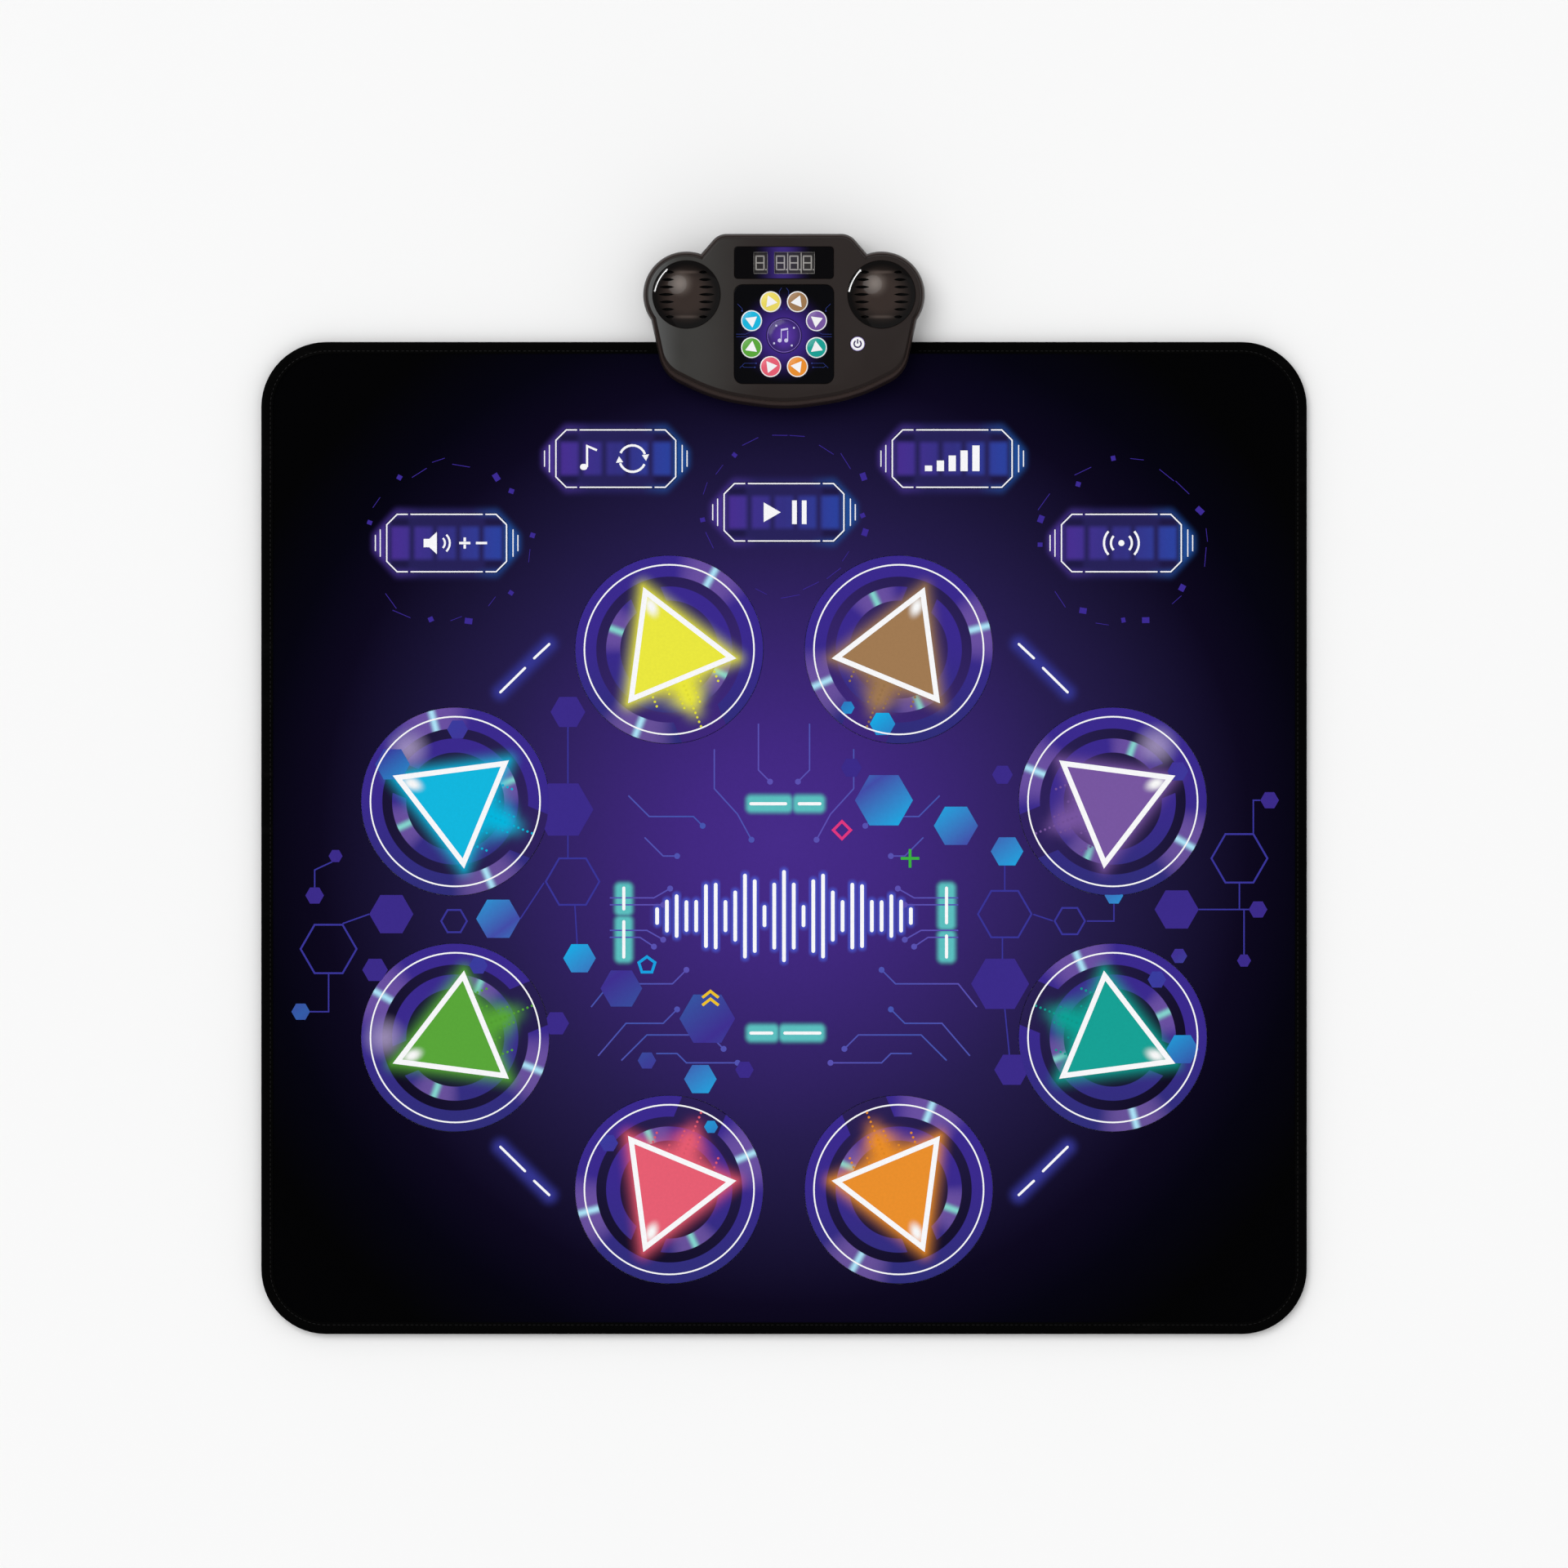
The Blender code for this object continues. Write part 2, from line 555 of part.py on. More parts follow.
def make_bottom_shell(plastic):
    bm = bmesh.new()
    add_layers(bm, shell_layers(UNDER_SKIRT))
    shell = piece("console_bottom_shell", bm, plastic)
    bm = bmesh.new()
    add_lobes(bm, UNDER_SKIRT)
    join(shell, "bottom_lobes", bm, "UNION")

    bm = bmesh.new()
    beside, before = LOBE[0] + 2 * LOBE_RADIUS, BODY_CORNERS[0][1] - LOBE_RADIUS
    add_box(bm, (-beside, beside), (before, STEP_Y), (-PAST, FLOOR_FRONT))
    join(shell, "room_for_mat", bm, "DIFFERENCE")
    bm = bmesh.new()
    half, front, rear = CLAMP_LAND
    add_box(bm, (-half, half), (front, rear), (COVER[1] + GAP, FLOOR_FRONT + PAST))
    join(shell, "clamp_land", bm, "UNION")

    bm = bmesh.new()
    add_prism(bm, body_outline(WALL), FLOOR_TOP_FRONT, SHELL_SPLIT + PAST)
    join(shell, "upper_hollow", bm, "DIFFERENCE")
    bm = bmesh.new()
    add_prism(bm, body_outline(WALL + GAP), FLOOR_TOP_REAR, FLOOR_TOP_FRONT + PAST)
    cut = bmesh.ops.bisect_plane(
        bm,
        geom=bm.verts[:] + bm.edges[:] + bm.faces[:],
        plane_co=(0, STEP_Y + WALL, 0),
        plane_no=(0, 1, 0),
        clear_inner=True,
    )
    rim = [item for item in cut["geom_cut"] if isinstance(item, bmesh.types.BMEdge)]
    bmesh.ops.contextual_create(bm, geom=rim)
    join(shell, "rear_hollow", bm, "DIFFERENCE")
    bm = bmesh.new()
    add_lobes(bm, ((0.0, FLOOR_TOP_REAR + GAP), (0.0, SHELL_SPLIT + 2 * PAST)), WALL)
    join(shell, "bottom_lobe_hollows", bm, "DIFFERENCE")
    weld(shell)

    bm = bmesh.new()
    for place, floor in zip(BOARD_POSTS, (FLOOR_TOP_FRONT, FLOOR_TOP_REAR)):
        for centre in both_sides(place):
            add_prism(bm, circle(centre, POST_RADIUS, SCREW_STEPS), floor - PAST, BOARD[0] - GAP)
    for centre in both_sides(SCREW_POST):
        add_prism(bm, circle(centre, SCREW_POST_RADIUS, LENS_STEPS), FLOOR_TOP_REAR - PAST, SCREW_POST_TOP)
    join(shell, "posts", bm, "UNION")

    bm = bmesh.new()
    half, front, rear = TAIL_SLOT
    add_box(bm, (-half, half), (front, rear), (0.0, FLOOR_TOP_FRONT + PAST))
    for centre in both_sides(CLAMP_SCREW):
        add_prism(bm, circle(centre, SCREW_SHANK + GAP, SCREW_STEPS), 0.0, FLOOR_TOP_FRONT + PAST)
    wide, narrow, top = SCREW_HEAD + GAP, SCREW_SHANK + GAP, SCREW_POST_TOP + PAST
    well = ((0.0, 0.0), (wide, 0.0), (wide, SCREW_SHELF), (narrow, SCREW_SHELF), (narrow, top), (0.0, top))
    for centre in both_sides(SCREW_POST):
        add_turned(bm, well, centre, LENS_STEPS)
    x, y, _, low, _ = DOOR
    tongue, tongue_low, tongue_high = DOOR_TONGUE
    top = FLOOR_TOP_REAR + GAP
    right = [(x + GAP, low - PAST), (x + GAP, tongue_low - GAP), (tongue + GAP, tongue_low - GAP)]
    right += [(tongue + GAP, tongue_high + GAP), (x + GAP, tongue_high + GAP), (x + GAP, top)]
    section = right + [(-a, b) for a, b in reversed(right)]
    add_run(bm, section, y - GAP, BODY_CORNERS[-1][1] + PAST)
    join(shell, "floor_openings", bm, "DIFFERENCE")


def make_face_pieces():
    smoked = finish("smoked_window", (0.010, 0.008, 0.016), 0.08)
    gloss = finish("panel_gloss", (0.012, 0.008, 0.030), 0.15)
    seat = FACE_LEVEL - PLATE_THICKNESS
    bm = bmesh.new()
    levels = (seat, FACE_LEVEL + PLATE_PROUD)
    add_prism(bm, rectangle(*WINDOW_SIZE, WINDOW_CORNER, (0.0, WINDOW_Y)), *levels)
    piece("display_window", bm, smoked)

    bm = bmesh.new()
    add_prism(bm, rectangle(*PANEL_SIZE, PANEL_CORNER, (0.0, PANEL_Y)), *levels)
    panel = piece("indicator_panel", bm, gloss)
    bm = bmesh.new()
    for place in lens_places().values():
        add_prism(bm, circle(place, LENS_RADIUS + GAP, LENS_STEPS), seat - PAST, FACE_LEVEL + PAST)
    centre = (0.0, CENTRE_LENS_Y)
    add_prism(bm, circle(centre, CENTRE_LENS_RADIUS + GAP, LOBE_STEPS), seat - PAST, FACE_LEVEL + PAST)
    join(panel, "lens_holes", bm, "DIFFERENCE")

    for name, place in lens_places().items():
        colour = finish(name + "_lens", PAD_COLOURS[name], 0.2)
        make_lens(name + "_lens", colour, place, LENS_RADIUS, LENS_STEPS)
    violet = finish("centre_lens", (0.05, 0.025, 0.17), 0.2)
    make_lens("centre_lens", violet, centre, CENTRE_LENS_RADIUS, LOBE_STEPS)


def lens_places():
    """Each lens stands where its pad's direction points from the panel's middle."""
    order = ("purple", "brown", "yellow", "blue", "green", "pink", "orange", "teal")
    angles = [2 * math.pi * (k + 0.5) / len(order) for k in range(len(order))]
    return {
        name: (LENS_RING * math.cos(angle), PANEL_Y + LENS_RING * math.sin(angle))
        for name, angle in zip(order, angles)
    }


def make_lens(name, material, place, radius, steps):
    """A low dome with a flange that sits under the panel."""
    under = FACE_LEVEL - PLATE_THICKNESS - GAP
    flange = radius + LENS_FLANGE
    low = under - LENS_FLANGE_HEIGHT
    profile = [(0.0, low), (flange, low), (flange, under), (radius, under)]
    profile += [(radius * share, FACE_LEVEL + rise) for share, rise in LENS_DOME]
    bm = bmesh.new()
    add_turned(bm, profile, steps=steps)
    piece(name, bm, material, (*place, 0.0))


def make_power_button():
    white = finish("button_white", (0.80, 0.80, 0.82), 0.35)
    dark = finish("switch_black", (0.02, 0.02, 0.02), 0.5)
    high = CEILING - GAP
    low, wide = high - BUTTON_FLANGE, BUTTON_RADIUS + BUTTON_FLANGE
    stem, stem_low = BUTTON_STEM
    profile = [(0.0, stem_low), (stem, stem_low), (stem, low), (wide, low), (wide, high), (BUTTON_RADIUS, high)]
    profile += [(BUTTON_RADIUS + out, FACE_LEVEL + rise) for out, rise in BUTTON_CAP]
    bm = bmesh.new()
    add_turned(bm, profile, steps=BUTTON_STEPS)
    piece("power_button", bm, white, (*BUTTON, 0.0))
    bm = bmesh.new()
    x, y = BUTTON
    half = SWITCH_HALF
    add_box(bm, (x - half, x + half), (y - half, y + half), (BOARD[1] + GAP, SWITCH_TOP))
    piece("power_switch", bm, dark)


def dome_arc(radius, rise, level, steps, inset=0.0):
    """Radius and level points down a dome, from its top to its rim."""
    ball = (radius ** 2 + rise ** 2) / (2 * rise)
    middle = level + rise - ball
    reach = math.asin((radius - inset) / (ball - inset))
    angles = [reach * k / steps for k in range(steps + 1)]
    return [((ball - inset) * math.sin(a), middle + (ball - inset) * math.cos(a)) for a in angles]


def make_speakers():
    gloss = finish("grille_plastic", (0.018, 0.013, 0.010), 0.25)
    steel = finish("speaker_steel", (0.30, 0.30, 0.31), 0.45, 1.0)
    paper = finish("cone_paper", (0.03, 0.03, 0.03), 0.85)
    high = CEILING - GAP
    low = high - GRILLE_FLANGE_HEIGHT
    outside = dome_arc(GRILLE_RADIUS, GRILLE_RISE, FACE_LEVEL, 4)
    inside = dome_arc(GRILLE_RADIUS, GRILLE_RISE, FACE_LEVEL, 3, GRILLE_WALL)
    grille = outside + [(GRILLE_RADIUS, high), (GRILLE_FLANGE, high), (GRILLE_FLANGE, low)]
    grille += [(GRILLE_RADIUS - GRILLE_WALL, low)] + inside[::-1]
    frame = (
        (0.0, 0.0120),
        (0.0140, 0.0120),
        (0.0140, 0.0220),
        (0.0110, 0.0220),
        (0.0110, 0.0242),
        (0.0270, 0.0325),
        (0.0308, low - GAP - 0.0014),
        (0.0308, low - GAP),
        (0.0262, low - GAP),
        (0.0252, 0.0335),
        (0.0132, 0.0260),
        (0.0, 0.0260),
    )
    cone = (
        (0.0, 0.0300),
        (0.0085, 0.0284),
        (0.0125, 0.0276),
        (0.0248, 0.0350),
        (0.0248, 0.0357),
        (0.0124, 0.0284),
        (0.0086, 0.0292),
        (0.0, 0.0308),
    )
    for side, word in ((-1, "left"), (1, "right")):
        place = (side * LOBE[0], LOBE[1], 0.0)
        bm = bmesh.new()
        add_turned(bm, grille, steps=LOBE_STEPS)
        cover = piece(word + "_speaker_grille", bm, gloss, place)
        bm = bmesh.new()
        for row in range(-3, 4):
            y = row * SLOT_PITCH
            outer = SLOT_OUTER[abs(row)]
            for first, last in ((SLOT_INNER, outer), (-outer, -SLOT_INNER)):
                width = (y - SLOT_WIDTH / 2, y + SLOT_WIDTH / 2)
                add_box(bm, (first, last), width, (FACE_LEVEL - SLOT_SUNK, FACE_LEVEL + GRILLE_RISE + PAST))
        join(cover, word + "_grille_slots", bm, "DIFFERENCE")
        bm = bmesh.new()
        add_turned(bm, frame, steps=20)
        piece(word + "_speaker_frame", bm, steel, place)
        bm = bmesh.new()
        add_turned(bm, cone, steps=20)
        piece(word + "_speaker_cone", bm, paper, place)


def make_board():
    green = finish("board_green", (0.02, 0.12, 0.05), 0.5)
    grey = finish("digit_grey", (0.45, 0.43, 0.42), 0.4)
    cream = finish("connector_cream", (0.75, 0.72, 0.62), 0.5)
    bm = bmesh.new()
    add_prism(bm, BOARD_RIGHT + BOARD_REAR + BOARD_LEFT, *BOARD)
    board = piece("main_board", bm, green)
    bm = bmesh.new()
    half = LAMP_HALF
    for x, y in list(lens_places().values()) + [(0.0, CENTRE_LENS_Y)]:
        add_box(bm, (x - half, x + half), (y - half, y + half), (BOARD[1] - SUNK, BOARD[1] + LAMP_HEIGHT))
    add_box(bm, *CHIP_SPAN, (BOARD[0] - CHIP_DEPTH, BOARD[0] + SUNK))
    join(board, "lamps_and_chip", bm, "UNION")

    for name, span in (("single_digit_display", SINGLE_DIGIT_X), ("triple_digit_display", TRIPLE_DIGIT_X)):
        bm = bmesh.new()
        add_box(bm, span, DIGITS_Y, (BOARD[1] + GAP, DIGITS_TOP))
        piece(name, bm, grey)

    bm = bmesh.new()
    half, front, rear, low = CONNECTOR
    add_box(bm, (-half, half), (front, rear), (low, BOARD[0] - GAP))
    piece("tail_connector", bm, cream)
    make_tail((front + rear) / 2, low - GAP)


def make_tail(end_y, end_z):
    """The film's tail: out of the films, up through the slot, along and up to the connector."""
    film = finish("tail_film", (0.70, 0.45, 0.12), 0.4)
    rise_y = (TAIL_SLOT[1] + TAIL_SLOT[2]) / 2
    level = sum(LOWER_FILM) / 2
    tight, wide = 0.001, 0.002
    route = [(FILMS_REAR + GAP, level), (rise_y - tight, level), (rise_y, level + tight)]
    route += [(rise_y, TAIL_RUN - wide), (rise_y + wide, TAIL_RUN), (end_y - wide, TAIL_RUN)]
    route += [(end_y, TAIL_RUN + wide), (end_y, end_z)]
    half = TAIL_SLOT[0] - tight
    bm = bmesh.new()
    verts = [bm.verts.new((-half, y, z)) for y, z in route]
    edges = [bm.edges.new(pair) for pair in zip(verts, verts[1:])]
    wide = bmesh.ops.extrude_edge_only(bm, edges=edges)
    moved = [item for item in wide["geom"] if isinstance(item, bmesh.types.BMVert)]
    bmesh.ops.translate(bm, vec=(2 * half, 0, 0), verts=moved)
    tail = piece("film_tail", bm, film)
    thick = tail.modifiers.new("thickness", "SOLIDIFY")
    thick.thickness = TAIL_THICKNESS
    thick.offset = 0.0
    thick.use_even_offset = True


def make_battery_parts(plastic):
    steel = finish("cell_case", (0.55, 0.35, 0.16), 0.35, 0.8)
    screw = finish("screw_steel", (0.50, 0.50, 0.52), 0.35, 1.0)
    half, front, rear, low, high = BATTERY_BOX
    bm = bmesh.new()
    add_box(bm, (-half, half), (front, rear), (low, high))
    box = piece("battery_box", bm, finish("inner_plastic", (0.03, 0.03, 0.03), 0.6))
    bm = bmesh.new()
    across = (-DOOR_BOSS_HALF, DOOR_BOSS_HALF)
    add_box(bm, across, (DOOR_BOSS_FRONT, front + PAST), (low, low + DOOR_BOSS_HEIGHT))
    join(box, "door_screw_boss", bm, "UNION")
    bm = bmesh.new()
    wall = BATTERY_WALL
    inner = (front + wall, rear - wall)
    add_box(bm, (-half + wall, half - wall), inner, (low - PAST, high - wall))
    pilot = circle((0.0, DOOR_SCREW_Y), SCREW_SHANK + GAP, SCREW_STEPS)
    add_prism(bm, pilot, low - PAST, low + DOOR_BOSS_HEIGHT - PAST)
    join(box, "battery_hollow", bm, "DIFFERENCE")

    start = (front + rear - CELL_LENGTH) / 2
    for k in range(4):
        x = (k - 1.5) * CELL_PITCH
        bm = bmesh.new()
        rim, nub = CELL_RADIUS, CELL_NUB[0]
        tip = start + CELL_LENGTH
        end = tip - CELL_NUB[1]
        profile = [(0.0, start), (rim, start), (rim, end), (nub, end), (nub, tip), (0.0, tip)]
        verts = [bm.verts.new((x + r, y, CELL_LEVEL)) for r, y in profile]
        edges = [bm.edges.new(pair) for pair in zip(verts, verts[1:])]
        bmesh.ops.spin(
            bm,
            geom=verts + edges,
            cent=(x, 0.0, CELL_LEVEL),
            axis=(0, 1, 0),
            angle=2 * math.pi,
            steps=CELL_STEPS,
            use_merge=True,
        )
        bmesh.ops.remove_doubles(bm, verts=bm.verts, dist=1e-6)
        piece(f"battery_cell_{k + 1}", bm, steel)

    x, y, end, low, high = DOOR
    tongue, tongue_low, tongue_high = DOOR_TONGUE
    right = [(x, low), (x, tongue_low), (tongue, tongue_low), (tongue, tongue_high), (x, tongue_high), (x, high)]
    bm = bmesh.new()
    add_run(bm, right + [(-a, b) for a, b in reversed(right)], y, end)
    door = piece("battery_door", bm, plastic)
    bm = bmesh.new()
    half, thick, proud = DOOR_RIB
    for k in range(4):
        rib = end - (k + 1.5) * DOOR_RIB_PITCH
        add_box(bm, (-half, half), (rib - thick, rib + thick), (low - proud, low + PAST))
    join(door, "grip_ribs", bm, "UNION")
    bm = bmesh.new()
    wide, narrow = SCREW_HEAD + GAP, SCREW_SHANK + GAP
    shelf, under, over = low + DOOR_SHELF, low - PAST, high + PAST
    well = ((0.0, under), (wide, under), (wide, shelf), (narrow, shelf), (narrow, over), (0.0, over))
    add_turned(bm, well, (0.0, DOOR_SCREW_Y), LENS_STEPS)
    join(door, "screw_well", bm, "DIFFERENCE")
    base, chamfer, seat = DOOR_SCREW_LEVELS
    narrow = SCREW_HEAD - (chamfer - base)
    profile = ((0.0, base), (narrow, base), (SCREW_HEAD, chamfer), (SCREW_HEAD, seat))
    profile += ((SCREW_SHANK, seat), (SCREW_SHANK, high - 0.0004), (0.0, high - 0.0002))
    bm = bmesh.new()
    add_turned(bm, profile, steps=LENS_STEPS)
    piece("battery_door_screw", bm, screw, (0.0, DOOR_SCREW_Y, 0.0))

    seat = SCREW_SHELF - GAP
    low, tip = seat - SCREW_HEAD_HEIGHT, SCREW_TIP
    profile = ((0.0, low), (SCREW_HEAD, low), (SCREW_HEAD, seat), (SCREW_SHANK, seat), (SCREW_SHANK, tip))
    profile += ((0.0, tip + PAST),)
    for side, word in ((-1, "left"), (1, "right")):
        bm = bmesh.new()
        add_turned(bm, profile, steps=SCREW_STEPS)
        piece(word + "_shell_screw", bm, screw, (side * SCREW_POST[0], SCREW_POST[1], 0.0))


def make_feet():
    rubber = finish("foot_rubber", (0.01, 0.01, 0.01), 0.9)
    for side, word in ((-1, "left"), (1, "right")):
        bm = bmesh.new()
        middle = (side * FOOT[0], FOOT[1])
        outline, smaller = (rectangle(*FOOT_SIZE, FOOT_CORNER, middle, inset) for inset in (0.0, FOOT_CHAMFER))
        add_layers(bm, [(smaller, 0.0), (outline, FOOT_CHAMFER), (outline, FLOOR_REAR - GAP)])
        piece(word + "_foot", bm, rubber)


def main():
    clear_scene()
    plastic = finish("console_plastic", CONSOLE_PLASTIC, 0.45)
    make_mat()
    make_binding()
    make_arrow_pads()
    make_control_pads()
    make_clamp()
    make_top_shell(plastic)
    make_bottom_shell(plastic)
    make_face_pieces()
    make_power_button()
    make_speakers()
    make_board()
    make_battery_parts(plastic)
    make_feet()


main()
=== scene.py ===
"""Electronic dance mat: the finish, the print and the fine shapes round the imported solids.

Metres, +Z up, in the same frame as the solids. +Y runs towards the console.
"""

import json
import math
import random
from functools import partialmethod

import bmesh
import bpy
from bpy.props import FloatProperty, FloatVectorProperty, PointerProperty
from mathutils import Matrix, Vector

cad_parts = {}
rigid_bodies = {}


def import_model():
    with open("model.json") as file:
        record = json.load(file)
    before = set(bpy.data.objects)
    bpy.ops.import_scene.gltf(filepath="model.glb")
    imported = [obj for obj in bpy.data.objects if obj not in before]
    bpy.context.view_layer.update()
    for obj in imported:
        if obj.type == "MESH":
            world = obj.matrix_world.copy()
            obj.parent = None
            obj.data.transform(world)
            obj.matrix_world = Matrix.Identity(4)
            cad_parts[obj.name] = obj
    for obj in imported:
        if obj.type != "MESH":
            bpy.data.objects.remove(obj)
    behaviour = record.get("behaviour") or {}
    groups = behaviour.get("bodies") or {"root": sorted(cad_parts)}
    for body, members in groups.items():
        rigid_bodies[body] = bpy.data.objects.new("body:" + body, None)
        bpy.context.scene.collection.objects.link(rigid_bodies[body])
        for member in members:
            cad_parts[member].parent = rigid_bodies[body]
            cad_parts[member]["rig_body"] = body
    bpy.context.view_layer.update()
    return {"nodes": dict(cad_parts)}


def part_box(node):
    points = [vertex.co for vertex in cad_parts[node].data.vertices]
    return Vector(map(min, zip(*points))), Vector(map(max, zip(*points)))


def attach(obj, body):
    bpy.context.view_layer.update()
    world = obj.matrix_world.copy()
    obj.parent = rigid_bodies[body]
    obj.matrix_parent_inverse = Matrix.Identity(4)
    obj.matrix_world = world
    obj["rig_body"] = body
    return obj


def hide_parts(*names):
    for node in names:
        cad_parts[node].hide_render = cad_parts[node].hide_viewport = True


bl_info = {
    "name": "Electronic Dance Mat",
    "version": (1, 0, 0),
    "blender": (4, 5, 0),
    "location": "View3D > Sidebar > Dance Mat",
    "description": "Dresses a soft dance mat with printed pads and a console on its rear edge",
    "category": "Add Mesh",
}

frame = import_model()

MAIN_BODY = "mat_and_console"


def display(red, green, blue):
    """A colour as a screen shows it, 0 to 255, as the values that a shader takes."""
    shares = (value / 255 for value in (red, green, blue))
    return tuple(s / 12.92 if s <= 0.04045 else ((s + 0.055) / 1.055) ** 2.4 for s in shares)


def colour_setting(name, thing, *screen):
    settings = {"name": name, "description": "Colour of the " + thing, "default": display(*screen)}
    return FloatVectorProperty(subtype="COLOR", min=0.0, max=1.0, **settings)


def length_setting(name, description, default):
    settings = {"name": name, "description": description, "default": default}
    return FloatProperty(subtype="DISTANCE", unit="LENGTH", **settings)


def angle_setting(name, description, degrees):
    settings = {"name": name, "description": description, "default": math.radians(degrees)}
    return FloatProperty(subtype="ANGLE", unit="ROTATION", **settings)


def middle(node):
    low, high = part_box(node)
    return Vector(((low.x + high.x) / 2, (low.y + high.y) / 2))


# Sizes that the solids give
MAT_LOW, MAT_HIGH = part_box("edge_binding")
COVER_LOW, COVER_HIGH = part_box("top_cover")
BASE_LOW, BASE_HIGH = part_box("anti_slip_base")
COVER_TOP = COVER_HIGH.z
CONTROL_NAMES = ("volume", "mode", "start", "level", "wireless")
CONTROL_CENTRES = {name: middle(name + "_pad") for name in CONTROL_NAMES}
PANEL_MIDDLE = middle("indicator_panel")
LENS_MIDDLE = middle("centre_lens")
FACE_LEVEL = 0.0400

# The way that each arrow pad's spray points; its arrow points the other way
SPRAY = {
    "yellow": -67.5,
    "brown": 247.5,
    "purple": 202.5,
    "teal": 157.5,
    "orange": 112.5,
    "pink": 67.5,
    "green": 22.5,
    "blue": -22.5,
}
PAD_CENTRES = {name: middle(name + "_arrow_pad") for name in SPRAY}
PLAY_MIDDLE = sum(PAD_CENTRES.values(), Vector((0.0, 0.0))) / len(PAD_CENTRES)

# The pads' shape
PAD_EDGE = 0.0810
PAD_SIDE_GAP = 0.00025
PAD_SIDES = 96
PAD_TOP = 0.0095
PAD_FLAT = 0.0585
PAD_RIM_LEVEL = 0.0087
CONTROL_CORNER = 0.0096
PRINT_DEPTH = 0.00012
# How far a print stands over another of its own piece that it crosses
OVERLAP = 0.00002

# The console's shape
LOBE_RADIUS = 0.0373
GRILLE_RADIUS = 0.0288
GRILLE_RISE = 0.0100
SLOT_PITCH = 0.0064
SHELL_SPLIT = 0.0163
SHELL_WALL = 0.0022
PLATE_GAP = 0.0003
WINDOW_CORNER = 0.0027
PANEL_CORNER = 0.0072
LENS_RADIUS = 0.0090
CENTRE_LENS_RADIUS = 0.0150
BUTTON_RADIUS = 0.0060
DISPLAYS = {"single_digit_display": 1, "triple_digit_display": 3}


class MatSettings(bpy.types.PropertyGroup):
    """The soft mat: its edges, its cover and the print that runs over it"""

    corner: length_setting("Corner radius", "Radius of the mat's corners", 0.056)
    binding_width: length_setting("Binding width", "How far the tape covers the sheets", 0.010)
    binding_colour: colour_setting("Binding", "edge tape", 3, 3, 3)
    thread_colour: colour_setting("Thread", "stitches along the tape", 16, 15, 15)
    stitch_pitch: length_setting("Stitch pitch", "Length of one stitch and its gap", 0.0042)
    dot_pitch: length_setting("Dot pitch", "Distance between the anti-slip dots", 0.0125)
    centre_colour: colour_setting("Field centre", "cover in the middle", 71, 44, 139)
    rim_colour: colour_setting("Field rim", "cover halfway out", 33, 25, 68)
    hex_colour: colour_setting("Indigo print", "plain hexagons", 58, 41, 138)
    cyan_colour: colour_setting("Cyan print", "bright hexagons", 11, 176, 235)
    line_colour: colour_setting("Circuit print", "circuit lines", 92, 78, 178)
    capsule_colour: colour_setting("Capsules", "soft bars in the middle", 92, 192, 192)
    ink_white: colour_setting("White print", "white lines", 250, 250, 252)


class PadSettings(bpy.types.PropertyGroup):
    """The thirteen pads"""

    outer_band: length_setting("Outer band", "Inner radius of the pad's outer band", 0.0628)
    inner_band_low: length_setting("Inner band from", "Inner radius of the inner band", 0.0422)
    inner_band_high: length_setting("Inner band to", "Outer radius of the inner band", 0.0543)
    circle_radius: length_setting("Circle radius", "Radius of the white circle", 0.0730)
    circle_width: length_setting("Circle width", "Width of the white circle", 0.0013)
    arrow_reach: length_setting("Arrow reach", "From the middle to an arrow's corner", 0.0583)
    arrow_border: length_setting("Arrow border", "Width of the arrow's white border", 0.0045)
    band_colour: colour_setting("Bands", "two bands", 58, 41, 142)
    yellow: colour_setting("Yellow", "yellow arrow", 236, 233, 60)
    brown: colour_setting("Brown", "brown arrow", 161, 122, 81)
    purple: colour_setting("Purple", "purple arrow", 119, 85, 161)
    teal: colour_setting("Teal", "teal arrow", 9, 161, 149)
    orange: colour_setting("Orange", "orange arrow", 235, 143, 40)
    pink: colour_setting("Pink", "pink arrow", 232, 93, 114)
    green: colour_setting("Green", "green arrow", 88, 166, 54)
    blue: colour_setting("Blue", "blue arrow", 0, 183, 223)
    frame_width: length_setting("Frame width", "Length of a control pad's frame", 0.1053)
    frame_depth: length_setting("Frame depth", "Depth of a control pad's frame", 0.0516)
    frame_line: length_setting("Frame line", "Width of the frame's white line", 0.0011)
    frame_left: colour_setting("Frame left", "frame's glow at its left", 70, 50, 138)
    frame_middle: colour_setting("Frame middle", "frame's glow inside", 40, 35, 92)
    frame_right: colour_setting("Frame right", "frame's glow at its right", 32, 74, 146)


